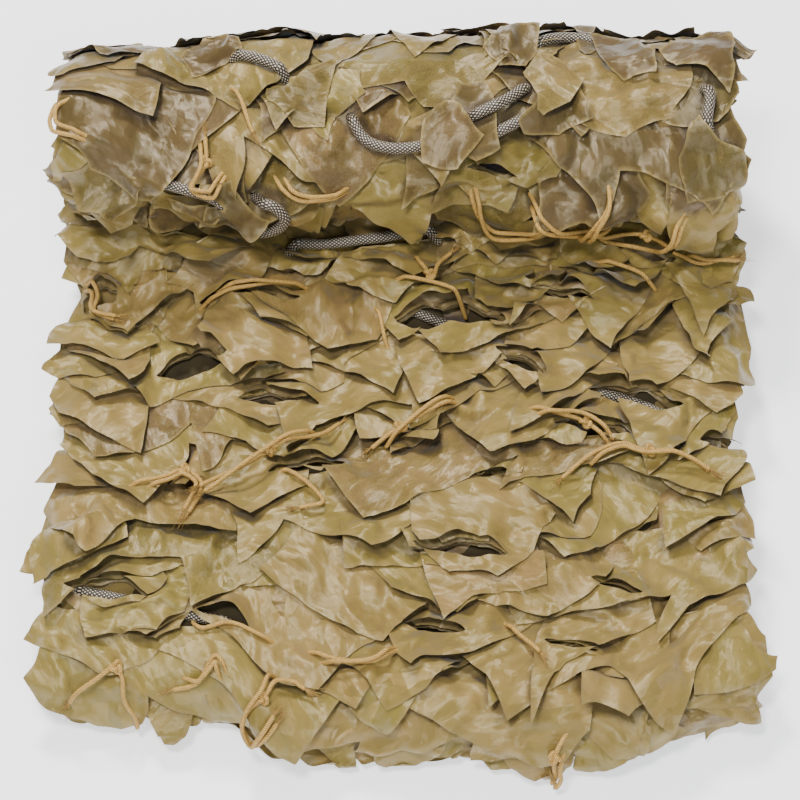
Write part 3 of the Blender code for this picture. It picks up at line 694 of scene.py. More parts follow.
def grow_row(chart, group, base, length, teeth, singles, rng):
    """A row of bands and single leaves, in the order that they are laid."""
    row = []
    x = -BUNDLE_WIDTH / 2 - rng.uniform(*ROW_STARTS)
    lean = rng.choice((-1, 1))
    while x < BUNDLE_WIDTH / 2 - ROW_ENDS:
        width = rng.uniform(*BAND_WIDTHS)
        size = length * rng.uniform(*BAND_LENGTHS)
        corners = band_corners(width, size, lean * rng.uniform(*BAND_LEANS), teeth, rng)
        lifts = rng.choice(LIFTS, 5, p=LIFT_ODDS)
        middle = min(x + width / 2, BUNDLE_WIDTH / 2 + BAND_PAST - width / 2)
        start = (middle, base + rng.uniform(*BAND_SHIFTS))
        row.append(Leaf(chart, group, base, corners, rng.normal(0, BAND_TURN), start, lifts, rng))
        x += width - rng.uniform(0.0, BAND_LAP)
        if rng.random() < LEAN_SWAPS:
            lean = -lean
    for _ in range(singles):
        x = rng.uniform(-1, 1) * (BUNDLE_WIDTH / 2 - SINGLE_INSET)
        kind = rng.choice(list(LEAF_KINDS))
        corners = leaf_corners(kind, rng.uniform(*SINGLE_WIDTHS), length * rng.uniform(*SINGLE_LENGTHS), rng)
        aside = SINGLES_TURN_BY * max(0, abs(x) - SINGLES_TURN_FROM) * np.sign(x)
        angle = rng.normal(0, SINGLE_TURN) - aside
        lifts = [rng.choice(LIFTS, p=LIFT_ODDS)]
        start = (x, base + rng.uniform(*SINGLE_SHIFTS))
        row.append(Leaf(chart, group, base, corners, angle, start, lifts, rng))
    rng.shuffle(row)
    return row


def loose_leaf(chart, group, row, rng):
    """A single piece that lies flat over the others, turned any way."""
    kind = rng.choice(("square", "kite", "tongue", "long"))
    corners = leaf_corners(kind, rng.uniform(*LOOSE_WIDTHS), rng.uniform(*LOOSE_LENGTHS), rng)
    corners[:, 1] -= 0.5 * corners[:, 1].max()
    spot = (rng.uniform(-1, 1) * (BUNDLE_WIDTH / 2 - LOOSE_INSET), row + rng.uniform(*LOOSE_SHIFTS))
    return Leaf(chart, group, row, corners, rng.normal(0, LOOSE_TURN), spot, [rng.choice(LIFTS[:4])], rng)


def rope_under_leaves(name, chart, places, look, rng):
    """A rope on the roll, and a leaf over each of its ends."""
    make_rope(name, chart, places, look)
    caps = []
    ends = [(x, distance_along("roll", place)) for x, place in places]
    for end, before in ((ends[0], ends[1]), (ends[-1], ends[-2])):
        away_x, away = end[0] - before[0], end[1] - before[1]
        size = math.hypot(away_x, away)
        length = rng.uniform(*CAP_LENGTHS)
        corners = leaf_corners(rng.choice(("kite", "vee", "hook")), rng.uniform(*CAP_WIDTHS), length, rng)
        share = (length - CAP_COVERS) / size
        spot = (end[0] + share * away_x, end[1] + share * away)
        angle = math.atan2(away_x, -away) + rng.normal(0, CAP_TURN)
        strip = int(np.clip((spot[1] + ROLL_STARTS) // STRIP_PITCHES["roll"], 0, ROLL_STRIPS - 1))
        cap = Leaf(chart, f"scrim_roll_{strip + 1}", 0, corners, angle, spot, [CAP_LIFT], rng)
        cap.number = CAP_NUMBERS + len(ROPES) * len(caps) + list(ROPES).index(name)
        chart.top[cap.cells][cap.mask] = cap.number
        cap.drape()
        caps.append(cap)
    return caps


def grow_strip(chart, group, start, front, rear, loose, rng):
    """A strip's leaves in two rows, each of a length, a distance between teeth and a number of singles."""
    leaves = grow_row(chart, group, start + ROW_APART, *front, rng) if front else []
    leaves += [loose_leaf(chart, group, start, rng) for _ in range(loose)]
    leaves += [side_leaf(chart, group, start, side, rng) for side in (-1, 1)]
    leaves += grow_row(chart, group, start, *rear, rng)
    return leaves + [loose_leaf(chart, group, start, rng)]


def side_leaf(chart, group, row, side, rng):
    """A leaf that pokes out past a side."""
    kind = rng.choice(("kite", "hook", "vee", "tongue"))
    corners = leaf_corners(kind, rng.uniform(*SIDE_WIDTHS), rng.uniform(*SIDE_LENGTHS), rng)
    spot = (side * rng.uniform(*SIDE_SPOTS), row + rng.uniform(*SIDE_SHIFTS))
    angle = -side * rng.uniform(*SIDE_TURNS)
    return Leaf(chart, group, row, corners, angle, spot, [rng.choice(LIFTS)], rng)


def lay_leaves(chart, leaves, between=()):
    """Lays the leaves in turn, and leaves out those that would be hidden. Each of `between`, a place and
    what to do, comes before the first leaf whose row starts behind that place."""
    for number, leaf in enumerate(leaves):
        leaf.number = number
        chart.top[leaf.cells][leaf.mask] = number
    seen = [(chart.top[leaf.cells] == leaf.number).sum() * CELL * CELL for leaf in leaves]
    kept = [leaf for leaf, area in zip(leaves, seen) if area > SEEN_AREA]
    waiting = sorted(between, key=lambda item: -item[0])
    laid = []
    for leaf in kept:
        while waiting and leaf.row < waiting[0][0]:
            laid += waiting.pop(0)[1]()
        leaf.drape()
        laid.append(leaf)
    for _, act in waiting:
        laid += act()
    return laid


def height_around(chart):
    """The chart's height, smoothed over a few millimetres."""
    around = chart.height
    for _ in range(HOLLOW_ROUNDS):
        for axis in (0, 1):
            around = (np.roll(around, 1, axis) + around + np.roll(around, -1, axis)) / 3
    return around


def hollow(around, x, along, height):
    """How much painted shade cloth gets, at a height, where it lies in a hollow between higher cloth."""
    near = read_grid(around, x, along, -CHART_HALF, -CHART_MARGIN)
    return HOLLOW_SHADE * smooth_step((near - height - HOLLOW_FROM) / HOLLOW_DEPTH)


def paint_shade_in_hollows(chart, leaves):
    # paints shade into each leaf where it lies in a hollow between higher cloth
    around = height_around(chart)
    for leaf in leaves:
        leaf.painted_shade = np.maximum(leaf.painted_shade, hollow(around, leaf.flat[:, 0], leaf.flat[:, 1], leaf.raised))


def new_mesh(name, points, faces):
    mesh = bpy.data.meshes.new(name)
    mesh.from_pydata(np.reshape(points, (-1, 3)).tolist(), [], faces)
    return mesh


def set_values(mesh, attribute, values):
    """A value for each point, that the cloth's material reads."""
    mesh.attributes.new(attribute, "FLOAT", "POINT").data.foreach_set("value", values.ravel())


def join_leaves(name, leaves, look):
    points = np.concatenate([leaf.points for leaf in leaves])
    starts = np.cumsum([0] + [len(leaf.points) for leaf in leaves[:-1]])
    faces = np.concatenate([leaf.faces + start for leaf, start in zip(leaves, starts)])
    mesh = new_mesh(name, points, faces.tolist())
    rims = np.concatenate([leaf.rim for leaf in leaves])
    tints = np.concatenate([np.full(len(leaf.points), leaf.tint) for leaf in leaves])
    # painted shade at each point
    painted_shades = np.concatenate([leaf.painted_shade for leaf in leaves])
    for attribute, values in (("rim", rims), ("tint", tints), ("painted_shade", painted_shades)):
        set_values(mesh, attribute, values)
    return add_piece(name, mesh, look)


def add_piece(name, mesh, look):
    mesh.shade_smooth()
    mesh.materials.append(look)
    piece = bpy.data.objects.new(name, mesh)
    bpy.context.scene.collection.objects.link(piece)
    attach(piece, "root")
    return piece


# ---------------------------------------------------------------- cords

ROPES = {
    # name: (cover, points), as the solids have them
    "rope_roll_hook": ("roll", ((-0.211, 154), (-0.184, 148), (-0.145, 154), (-0.122, 170), (-0.107, 180),
                                (-0.093, 174), (-0.088, 165), (-0.099, 158), (-0.114, 159))),
    "rope_crevice": ("lay", ((-0.092, 0.128), (-0.050, 0.132), (0.000, 0.133), (0.032, 0.131))),
    "rope_roll_middle": ("roll", ((-0.040, 111), (-0.028, 127), (-0.008, 133), (0.019, 132), (0.034, 127))),
    "rope_roll_pair_a": ("roll", ((0.046, 120), (0.076, 112), (0.100, 100))),
    "rope_roll_pair_b": ("roll", ((0.052, 131), (0.080, 123), (0.103, 116))),
    "rope_roll_left": ("roll", ((-0.134, 72), (-0.112, 80), (-0.084, 91))),
    "rope_roll_top": ("roll", ((0.100, 70), (0.122, 61), (0.146, 60), (0.165, 69))),
    "rope_roll_end": ("roll", ((0.233, 95), (0.237, 110), (0.237, 129))),
    "rope_lay_middle": ("lay", ((-0.004, 0.088), (0.024, 0.073), (0.044, 0.062), (0.070, 0.041),
                                (0.087, 0.022), (0.100, 0.009))),
    "rope_lay_right": ("lay", ((0.142, 0.009), (0.180, -0.001), (0.206, -0.013), (0.222, -0.023))),
    "rope_lay_left": ("lay", ((-0.247, -0.187), (-0.209, -0.197), (-0.164, -0.210), (-0.132, -0.218),
                              (-0.116, -0.216))),
}
TIES = {
    # name: (cover, points, knot, first end free, last end free)
    "tie_crevice_drop": ("lay", ((0.012, 0.120), (0.014, 0.108), (0.025, 0.092), (0.030, 0.104),
                                 (0.040, 0.116)), 2, False, True),
    "tie_crevice_cross": ("lay", ((-0.006, 0.094), (0.014, 0.090), (0.037, 0.082), (0.052, 0.072)),
                          None, False, False),
    "tie_crevice_right": ("lay", ((0.216, 0.122), (0.230, 0.114), (0.244, 0.116), (0.256, 0.124)),
                          None, False, True),
    "tie_frayed_left": ("lay", ((-0.252, 0.108), (-0.240, 0.090), (-0.238, 0.076), (-0.222, 0.068)),
                        None, False, True),
    "tie_open_left": ("lay", ((-0.158, 0.080), (-0.128, 0.082), (-0.098, 0.090), (-0.074, 0.100)),
                      None, False, False),
    "tie_opening": ("lay", ((-0.020, 0.079), (-0.016, 0.068), (-0.012, 0.050), (-0.008, 0.041)),
                    None, False, False),
    "tie_right_band": ("lay", ((0.150, 0.109), (0.179, 0.100), (0.196, 0.090)), None, False, False),
    "tie_left_pair": ("lay", ((-0.204, -0.090), (-0.177, -0.083), (-0.161, -0.076), (-0.148, -0.088),
                              (-0.161, -0.113)), 2, False, True),
    "tie_cross": ("lay", ((-0.046, -0.028), (-0.061, -0.044), (-0.083, -0.055), (-0.121, -0.070),
                          (-0.150, -0.092)), 2, True, True),
    "tie_cross_low": ("lay", ((-0.096, -0.070), (-0.077, -0.077), (-0.058, -0.096), (-0.076, -0.102)),
                      None, False, True),
    "tie_middle": ("lay", ((-0.022, -0.048), (0.002, -0.033), (0.022, -0.022), (0.046, -0.010)),
                   1, True, False),
    "tie_right_fork": ("lay", ((0.094, -0.022), (0.116, -0.027), (0.138, -0.031), (0.158, -0.048)),
                       2, False, False),
    "tie_right_long": ("lay", ((0.122, -0.080), (0.142, -0.060), (0.165, -0.052), (0.182, -0.060),
                               (0.208, -0.064), (0.232, -0.076)), 3, True, True),
    "tie_low_left": ("lay", ((-0.149, -0.219), (-0.143, -0.230), (-0.123, -0.223), (-0.102, -0.215),
                             (-0.088, -0.211)), None, False, False),
    "tie_low_hook": ("lay", ((-0.161, -0.271), (-0.146, -0.267), (-0.137, -0.254), (-0.124, -0.263)),
                     None, True, False),
    "tie_low_loop": ("lay", ((-0.069, -0.250), (-0.080, -0.246), (-0.091, -0.248), (-0.099, -0.259),
                             (-0.108, -0.269), (-0.112, -0.280), (-0.108, -0.287), (-0.097, -0.276),
                             (-0.088, -0.266)),
                     3, True, True),
    "tie_low_middle": ("lay", ((-0.069, -0.219), (-0.045, -0.230), (-0.020, -0.234), (0.000, -0.222)),
                       None, False, False),
    "tie_corner": ("lay", ((-0.236, -0.280), (-0.220, -0.266), (-0.208, -0.259), (-0.197, -0.270),
                           (-0.192, -0.285), (-0.196, -0.306)), 2, True, True),
    "tie_front": ("lay", ((0.122, -0.267), (0.109, -0.281), (0.110, -0.297), (0.108, -0.308)),
                  1, False, True),
    "tie_low_right": ("lay", ((0.075, -0.196), (0.087, -0.214), (0.100, -0.230)), None, False, True),
    "tie_roll_left": ("roll", ((-0.250, 102), (-0.256, 110), (-0.250, 119), (-0.234, 126)),
                      None, False, False),
    "tie_roll_drop": ("roll", ((-0.133, 94), (-0.122, 108), (-0.110, 124)), None, False, True),
    "tie_roll_bar": ("roll", ((-0.098, 145), (-0.081, 154), (-0.060, 156), (-0.038, 156)),
                     None, False, False),
    "tie_roll_curl": ("roll", ((-0.146, 125), (-0.149, 138), (-0.156, 148), (-0.140, 152), (-0.132, 144)),
                      1, True, False),
    "tie_roll_middle": ("roll", ((0.052, 154), (0.061, 172), (0.074, 185), (0.096, 180), (0.112, 170)),
                        None, False, False),
    "tie_roll_cross": ("roll", ((0.099, 161), (0.120, 172), (0.143, 185), (0.164, 194)),
                       None, False, True),
    "tie_roll_bow": ("roll", ((0.136, 191), (0.144, 178), (0.153, 166), (0.160, 154)),
                     None, False, False),
    "tie_roll_right": ("roll", ((0.142, 196), (0.168, 197), (0.190, 194), (0.205, 185), (0.221, 168)),
                       2, True, False),
}
SINGLE_TIES = ("tie_crevice_drop", "tie_crevice_cross", "tie_cross_low", "tie_corner", "tie_low_right",
               "tie_roll_drop", "tie_right_band", "tie_opening", "tie_low_left")
BURIED_ROPES = ("rope_lay_middle", "rope_lay_right", "rope_lay_left")
CORD_STEP = 0.0010
TWINE_SIDES = 12
FRAY_SIDES = 3
TWINE_THIN = 0.84  # of the solid's thickness
TWINE_TWIST = 0.0115  # the length of one turn of its strands
TWINE_STRANDS = 6
TWINE_LOBES = 0.04
FIBRE_RADIUS = 0.075 * TWINE
FIBRES = 20
FIBRE_POINTS = 7
FIBRE_LENGTHS = (0.007, 0.014)
FIBRE_SPREAD = 0.22
KNOT_SIZE = 0.34 * TWINE
DOUBLE_APART = 1.15 * TWINE
ROPE_SIDES = 32
ROPE_THIN = 0.93  # of the solid's thickness
BRAID_AROUND = 10
BRAID_LENGTH = 0.0036
BRAID_DEPTH = 0.0004
TUCK = 0.012  # the length over which a held end goes down through the cloth
EASE_ROUNDS = 600
EASING = np.hanning(15)[1:-1]
TUCK_DEPTH = 0.002  # beyond 1.1 times the cord's thickness
# How far ropes press into what they lie on
SUNK = {"rope_lay_middle": 0.005, "rope_lay_right": 0.005, "rope_lay_left": 0.005, "rope_roll_top": 0.007,
        "rope_crevice": 0.004}
SUNK_ELSEWHERE = 0.0025
COVERED_FROM = 0.125  # rows that start this far behind a rope on the roll are laid before it


def distance_along(cover, place):
    if cover == "lay":
        return LAY_COVER_Y - place
    return math.radians(place - ROLL_COVER_FROM) * ROLL_COVER_RADIUS


def smooth_route(points, spacing):
    """Evenly spaced points on a smooth curve through the given ones."""
    points = np.array(points)
    ends = np.vstack((2 * points[0] - points[1], points, 2 * points[-1] - points[-2]))
    t = np.linspace(0, 1, 24, endpoint=False)[:, None]
    fine = []
    for a, b, c, d in zip(ends, ends[1:], ends[2:], ends[3:]):
        square, cube = 2 * a - 5 * b + 4 * c - d, 3 * b - 3 * c + d - a
        fine.append(b + 0.5 * ((c - a) * t + square * t**2 + cube * t**3))
    fine = np.vstack(fine + [points[-1:]])
    return evenly_spaced(fine, spacing)[0]


def route_on(chart, flat, radius, first_held, last_held, buried=0.0):
    """The line of a cord that lies on the cloth. It raises the chart, so that the next crosses over it."""
    around = [(0, 0)] + [(radius * math.cos(a), radius * math.sin(a)) for a in np.arange(8) * math.pi / 4]
    start = (-CHART_HALF, -CHART_MARGIN)
    tops = [read_grid(chart.height, flat[:, 0] + dx, flat[:, 1] + da, *start) for dx, da in around]
    floor = np.max(tops, axis=0) + radius * 0.92
    heights = floor.copy()
    for _ in range(EASE_ROUNDS):
        eased = heights.copy()
        eased[1:-1] = (heights[:-2] + heights[2:]) / 2
        heights = np.maximum(floor, eased)
    heights = np.convolve(np.pad(heights, len(EASING) // 2, mode="edge"), EASING / EASING.sum(), mode="valid")
    run = np.arange(len(flat)) * CORD_STEP
    down = 2.2 * radius + TUCK_DEPTH
    if first_held:
        heights -= down * smooth_step(1 - run / TUCK)
    if last_held:
        heights -= down * smooth_step(1 - (run[-1] - run) / TUCK)
    heights -= buried
    for (x, along), height in zip(flat, heights):
        i, j = round((x + CHART_HALF) / CELL), round((along + CHART_MARGIN) / CELL)
        cells = slice(i - 3, i + 4), slice(j - 3, j + 4)
        away_x = np.arange(i - 3, i + 4)[:, None] * CELL - CHART_HALF - x
        away_along = np.arange(j - 3, j + 4)[None, :] * CELL - CHART_MARGIN - along
        away = np.hypot(away_x, away_along)
        over = height + np.sqrt(np.maximum(0, radius**2 - away**2))
        under = chart.height[cells]
        chart.height[cells] = np.where(away < radius, np.maximum(under, over), under)
    return chart.place(flat[:, 0], flat[:, 1], heights)


def frames_of(line):
    """Directions along and across a line that turn with it and do not spin."""
    along = np.gradient(line, axis=0)
    along /= np.linalg.norm(along, axis=1)[:, None]
    across = np.zeros_like(line)
    side = np.cross(along[0], (0.3, 0.2, 1.0))
    for number, way in enumerate(along):
        side = side - way * side.dot(way)
        side /= np.linalg.norm(side)
        across[number] = side
    return across, np.cross(along, across)


def tube_mesh(name, lines, sides, profile):
    """Tubes along lines. profile gives each one's radius from the angle round it and the run along it."""
    points, faces, runs = [], [], []
    start = 0
    angle = np.arange(sides) * 2 * np.pi / sides
    for line in lines:
        across, over = frames_of(line)
        run = run_along(line)
        radius = profile(angle[None, :], run[:, None], run[-1])
        ways = np.cos(angle)[:, None] * across[:, None] + np.sin(angle)[:, None] * over[:, None]
        rings = (line[:, None] + radius[..., None] * ways).reshape(-1, 3)
        points.append(np.vstack((rings, line[:1], line[-1:])))
        count = len(line)
        for number, (here, there) in enumerate(zip(run, run[1:])):
            low = start + number * sides
            for side in range(sides):
                after = (side + 1) % sides
                faces.append((low + side, low + after, low + sides + after, low + sides + side))
                runs.append(((side, here), (side + 1, here), (side + 1, there), (side, there)))
        ends = start + count * sides
        last = ends - sides
        for side in range(sides):
            after = (side + 1) % sides
            faces.append((start + after, start + side, ends))
            faces.append((last + side, last + after, ends + 1))
            runs.append(((side + 1, 0), (side, 0), (side + 0.5, 0)))
            runs.append(((side, run[-1]), (side + 1, run[-1]), (side + 0.5, run[-1])))
        start = ends + 2
    mesh = new_mesh(name, np.concatenate(points), faces)
    wrapped = mesh.uv_layers.new(name="wrapped")
    corners = np.array([corner for face in runs for corner in face]) / (sides, 1)
    wrapped.data.foreach_set("uv", corners.ravel())
    return mesh


def braid(u, run):
    """How far the braid's strands stand out, from 0 to 1."""
    one = np.abs(np.sin(np.pi * (BRAID_AROUND * u + run / BRAID_LENGTH)))
    other = np.abs(np.sin(np.pi * (BRAID_AROUND * u - run / BRAID_LENGTH)))
    return one * other


def rope_profile(angle, run, whole):
    end = np.minimum(1, np.minimum(run, whole - run) / 0.003 + 0.75)
    return (ROPE_THIN * ROPE / 2 - BRAID_DEPTH * (1 - braid(angle / (2 * np.pi), run))) * end


def twine_profile(angle, run, whole):
    lobes = 1 - TWINE_LOBES + TWINE_LOBES * np.cos(3 * (angle - 2 * np.pi * run / TWINE_TWIST))
    end = np.minimum(1, np.minimum(run, whole - run) / 0.002 + 0.7)
    return TWINE_THIN * TWINE / 2 * lobes * end


def thin_profile(angle, run, whole):
    return FIBRE_RADIUS * (1 - 0.6 * run / whole) + 0 * angle


def knot_line(spot, across, over, along):
    """Twine that winds round a point as a trefoil."""
    t = np.linspace(0, 2 * np.pi, 40, endpoint=False)
    u = np.sin(t) + 2 * np.sin(2 * t)
    v = np.cos(t) - 2 * np.cos(2 * t)
    w = -np.sin(3 * t)
    line = spot + KNOT_SIZE * (u[:, None] * along + v[:, None] * across + 1.3 * w[:, None] * over)
    return np.vstack((line, line[:1]))


def fray(line, rng):
    """Loose fibres at the end of a line."""
    end, way = line[-1], line[-1] - line[-5]
    way = way / np.linalg.norm(way)
    fibres = []
    share = np.linspace(0, 1, FIBRE_POINTS)[:, None]
    for _ in range(FIBRES):
        spread = rng.normal(0, FIBRE_SPREAD, 3)
        reach = rng.uniform(*FIBRE_LENGTHS)
        fibre = end - 0.0015 * way + reach * share * way + reach * spread * share**1.4
        fibre[:, 2] = np.maximum(fibre[:, 2], FLOOR_GAP)
        fibres.append(fibre)
    return fibres


def make_rope(name, chart, places, look):
    cover = ROPES[name][0]
    flat = smooth_route([(x, distance_along(cover, place)) for x, place in places], CORD_STEP)
    line = route_on(chart, flat, ROPE / 2, True, True, SUNK.get(name, SUNK_ELSEWHERE))
    piece = add_piece(name.replace("rope", "braid"), tube_mesh(name, [line], ROPE_SIDES, rope_profile), look)
    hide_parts(name)


def make_tie(name, cover, places, knot, first_free, last_free, look, rng):
    chart = CHARTS[cover]
    flat = smooth_route([(x, distance_along(cover, place)) for x, place in places], CORD_STEP)
    line = route_on(chart, flat, TWINE / 2, not first_free, not last_free)

    def tube(name, lines, sides=TWINE_SIDES, profile=twine_profile):
        return add_piece(name, tube_mesh(name, lines, sides, profile), look)

    loose = []
    if first_free:
        loose += fray(line[::-1], rng)
    if last_free:
        loose += fray(line, rng)
    if name not in SINGLE_TIES:
        way = np.gradient(flat, axis=0)
        normal = np.stack((way[:, 1], -way[:, 0]), axis=-1) / np.linalg.norm(way, axis=1)[:, None]
        share = np.linspace(0, 1, len(flat))
        sway = DOUBLE_APART * rng.choice((-1, 1)) * np.cos(share * math.pi * rng.uniform(0.2, 1.3))
        second = flat + sway[:, None] * normal
        cut = int(rng.uniform(0, 0.2) * len(flat))
        beside = route_on(chart, second[cut:], TWINE / 2, True, not last_free)
        if last_free:
            loose += fray(beside, rng)
        tube(name + "_double", [beside])
    if knot is not None:
        number = min(max(round(knot / (len(places) - 1) * (len(line) - 1)), 6), len(line) - 7)
        across, over = frames_of(line)
        wound = knot_line(line[number], across[number], over[number], np.cross(across[number], over[number]))
        tube(name + "_knot", [wound])
    if loose:
        tube(name + "_fray", loose, FRAY_SIDES, thin_profile)
    piece = tube(name.replace("tie", "twine"), [line])
    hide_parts(name)


# ---------------------------------------------------------------- the ply and its edges

SHELL_HALF = 0.0035
SHELL_WIDTH = 0.464
SHELL_STEP = 0.008
SHELL_COLUMNS = 48
SHELL_WANDER = 0.0016
RUFFLE_FROM = 0.198
RUFFLE_TO = 0.247
RUFFLE_TOOTH = 0.012
RUFFLE_STEP = 0.004
RUFFLE_COLUMNS = 13
RUFFLE_PITCH = 0.052
RUFFLE_SLACK = 0.0035
RUFFLE_CURL, RUFFLE_DENT = 0.0016, 0.0012
RUFFLE_RIM_FADES = 0.0015
RUFFLE_LEVELS = (-0.0055, 0.0, 0.0055)
UNDER_HALF = 0.236
UNDER_STEP = 0.004
UNDER_LIES = 0.0030
UNDER_SINKS = 0.0035
UNDER_BEYOND = 0.006
UNDER_SHIFT = 0.13  # so that it has folds of its own
# painted shade under the openings: how dark, and how much that varies
OPENING_PAINTED_SHADE, OPENING_VARIES = 0.84, 0.10


def bundle_line(step):
    """Points on the middle of the ply: three layers with a fold between, then the roll."""
    parts = [((FREE_END_Y, PLY / 2), (REAR_FOLD_Y, PLY / 2))]
    turn = np.linspace(-np.pi / 2, np.pi / 2, 12)
    for number, (fold_y, way) in enumerate(((REAR_FOLD_Y, 1), (FRONT_FOLD_Y, -1))):
        fold_z = PLY / 2 + (number + 0.5) * PITCH
        y, z = fold_y + way * PITCH / 2 * np.cos(turn), fold_z + PITCH / 2 * np.sin(turn)
        parts.append(np.stack((y, z), axis=-1))
    turns = np.arange(0, (ROLL_RADIUS - CORE_RADIUS) / PITCH, 0.01)
    radius, angle = ROLL_RADIUS - PITCH * turns, -np.pi / 2 + 2 * np.pi * turns
    parts.append(np.stack((ROLL_Y + radius * np.cos(angle), ROLL_Z + radius * np.sin(angle)), axis=-1))
    line, run = evenly_spaced(np.vstack(parts), step)
    way = np.gradient(line, axis=0)
    way /= np.linalg.norm(way, axis=1)[:, None]
    return run, line, np.stack((-way[:, 1], way[:, 0]), axis=-1)


def grid_faces(rows, columns, start=0):
    i, j = np.meshgrid(np.arange(rows - 1), np.arange(columns - 1), indexing="ij")
    first = (start + i * columns + j).ravel()
    return np.stack((first, first + 1, first + columns + 1, first + columns), axis=-1)


def off_the_ground(points):
    points[..., 2] = np.maximum(points[..., 2], FLOOR_GAP / 2)
    return points


def make_shell(look):
    """The net and cloth inside, as a thin closed shell along the whole ply, near black: the net's own dark
    colour, painted darker to stand in for the shade inside the bundle.
    """
    run, line, out = bundle_line(SHELL_STEP)
    columns = np.linspace(-SHELL_WIDTH / 2, SHELL_WIDTH / 2, SHELL_COLUMNS)
    wander = SHELL_WANDER * read_tile(SWELLS, columns[None, :], run[:, None])
    sheets = []
    for side in (1, -1):
        away = wander + side * SHELL_HALF
        y = line[:, :1] + away * out[:, :1]
        z = line[:, 1:] + away * out[:, 1:]
        sheets.append(off_the_ground(settled(columns[None, :] + 0 * y, y, z)).reshape(-1, 3))
    rows, wide = len(run), len(columns)
    top = grid_faces(rows, wide)
    low = grid_faces(rows, wide, rows * wide)[:, ::-1]
    loop = [i * wide for i in range(rows)] + [(rows - 1) * wide + j for j in range(1, wide)]
    loop += [i * wide + wide - 1 for i in range(rows - 2, -1, -1)] + list(range(wide - 2, 0, -1))
    rim = [(a, b, b + rows * wide, a + rows * wide) for a, b in zip(loop, loop[1:] + loop[:1])]
    mesh = new_mesh("net_core", np.vstack(sheets), np.vstack((top, low, rim)).tolist())
    return add_piece("net_core", mesh, look), float(run[-1])


def make_ruffle(name, side, level, look, rng):
    """One cut edge of the cloth along a side of the whole ply, slack and toothed."""
    run, line, out = bundle_line(RUFFLE_STEP)
    share = np.linspace(0, 1, RUFFLE_COLUMNS)
    shift = rng.random() * 0.5
    teeth = np.abs((run / RUFFLE_PITCH + shift * 7) % 1 - 0.4)
    teeth = teeth + 0.35 * read_tile(CURLS, run, 0 * run + shift)
    reach = RUFFLE_TO + RUFFLE_TOOTH * np.clip(teeth, -0.6, 1.2)
    x = RUFFLE_FROM + (reach - RUFFLE_FROM)[:, None] * share[None, :]
    slack = RUFFLE_CURL * read_tile(CURLS, run[:, None] * 0.8 + shift, x)
    slack = slack + RUFFLE_DENT * read_tile(DENTS, run[:, None], x + shift)
    away = level + np.clip(slack, -RUFFLE_SLACK, RUFFLE_SLACK) * (0.4 + 0.6 * share[None, :])
    points = settled(side * x, line[:, :1] + away * out[:, :1], line[:, 1:] + away * out[:, 1:])
    mesh = new_mesh(name, off_the_ground(points), grid_faces(*x.shape).tolist())
    set_values(mesh, "rim", np.exp(-(reach[:, None] - x) / RUFFLE_RIM_FADES))
    set_values(mesh, "tint", 0.3 + 0.4 * read_tile(SWELLS, x, run[:, None]))
    width = float((reach - RUFFLE_FROM).mean())
    return add_piece(name, mesh, look), width * float(run[-1])


def make_under(name, chart, first, last, look):
    """Slack cloth under the leaves, that sinks away beneath the openings, with painted shade: near black
    under the openings, and in its hollows.
    """
    across = np.arange(-UNDER_HALF, UNDER_HALF + UNDER_STEP / 4, UNDER_STEP)
    x, along = np.meshgrid(across, np.arange(first, last, UNDER_STEP), indexing="ij")
    height = crumple(x + UNDER_SHIFT, along) - UNDER_LIES
    painted_shade = hollow(height_around(chart), x, along, height)
    for lens in chart.lenses:
        u, v = lens.local(x, along)
        near = np.exp(-((0.9 * u / lens.half_width) ** 4) - (v / (lens.half_height + UNDER_BEYOND)) ** 4)
        height -= UNDER_SINKS * near
        # painted shade, near black under each opening
        painted_shade = np.maximum(painted_shade, near * (OPENING_PAINTED_SHADE + OPENING_VARIES * read_tile(FACETS, x, along)))
    mesh = new_mesh(name, chart.place(x, along, height), grid_faces(*x.shape).tolist())
    set_values(mesh, "painted_shade", painted_shade)
    return add_piece(name, mesh, look), (2 * UNDER_HALF, last - first)


# ---------------------------------------------------------------- materials


class Look:
    """A material and its nodes. What goes into a node is a plain value or another node's output."""

    def __init__(self, name, roughness):
        self.material = bpy.data.materials.new(name)
        self.material.use_nodes = True
        self.tree = self.material.node_tree
        self.shader = self.tree.nodes["Principled BSDF"]
        self.fill(self.shader, {"Roughness": roughness})

    def fill(self, node, inputs):
        for key, value in inputs.items():
            if isinstance(value, bpy.types.NodeSocket):
                self.tree.links.new(value, node.inputs[key])
            else:
                node.inputs[key].default_value = value
        return node

    def node(self, kind, inputs):
        return self.fill(self.tree.nodes.new("ShaderNode" + kind), inputs)

    def math(self, operation, *values):
        node = self.node("Math", {})
        node.operation = operation
        return self.fill(node, dict(enumerate(values))).outputs[0]

    def vector(self, operation, *values):
        node = self.node("VectorMath", {})
        node.operation = operation
        return self.fill(node, dict(enumerate(values))).outputs[0]

    def mix(self, factor, first, second):
        node = self.node("Mix", {})
        node.data_type = "RGBA"
        return self.fill(node, {"Factor": factor, "A": first, "B": second}).outputs["Result"]

    def attribute(self, name):
        node = self.node("Attribute", {})
        node.attribute_name = name
        return node.outputs["Fac"]

    def place(self):
        return self.node("TexCoord", {}).outputs["Object"]

    def noise(self, place, scale, detail):
        return self.node("TexNoise", {"Vector": place, "Scale": scale, "Detail": detail})

    def ramp(self, share, *stops):
        node = self.node("ValToRGB", {"Fac": share})
        for element, (position, colour) in zip(node.color_ramp.elements, stops):
            element.position, element.color = position, colour
        return node.outputs["Color"]

    def bump(self, height, strength, distance, **under):
        inputs = {"Height": height, "Strength": strength, "Distance": distance, **under}
        return self.node("Bump", inputs).outputs["Normal"]

    def wrapped(self, turns, over):
        """Angles round and along a tube: `turns` for once round it, and `over` for each metre."""
        node = self.node("UVMap", {})
        node.uv_map = "wrapped"
        split = self.node("SeparateXYZ", {"Vector": node.outputs["UV"]})
        around = self.math("MULTIPLY", split.outputs["X"], turns)
        return around, self.math("MULTIPLY", split.outputs["Y"], over)


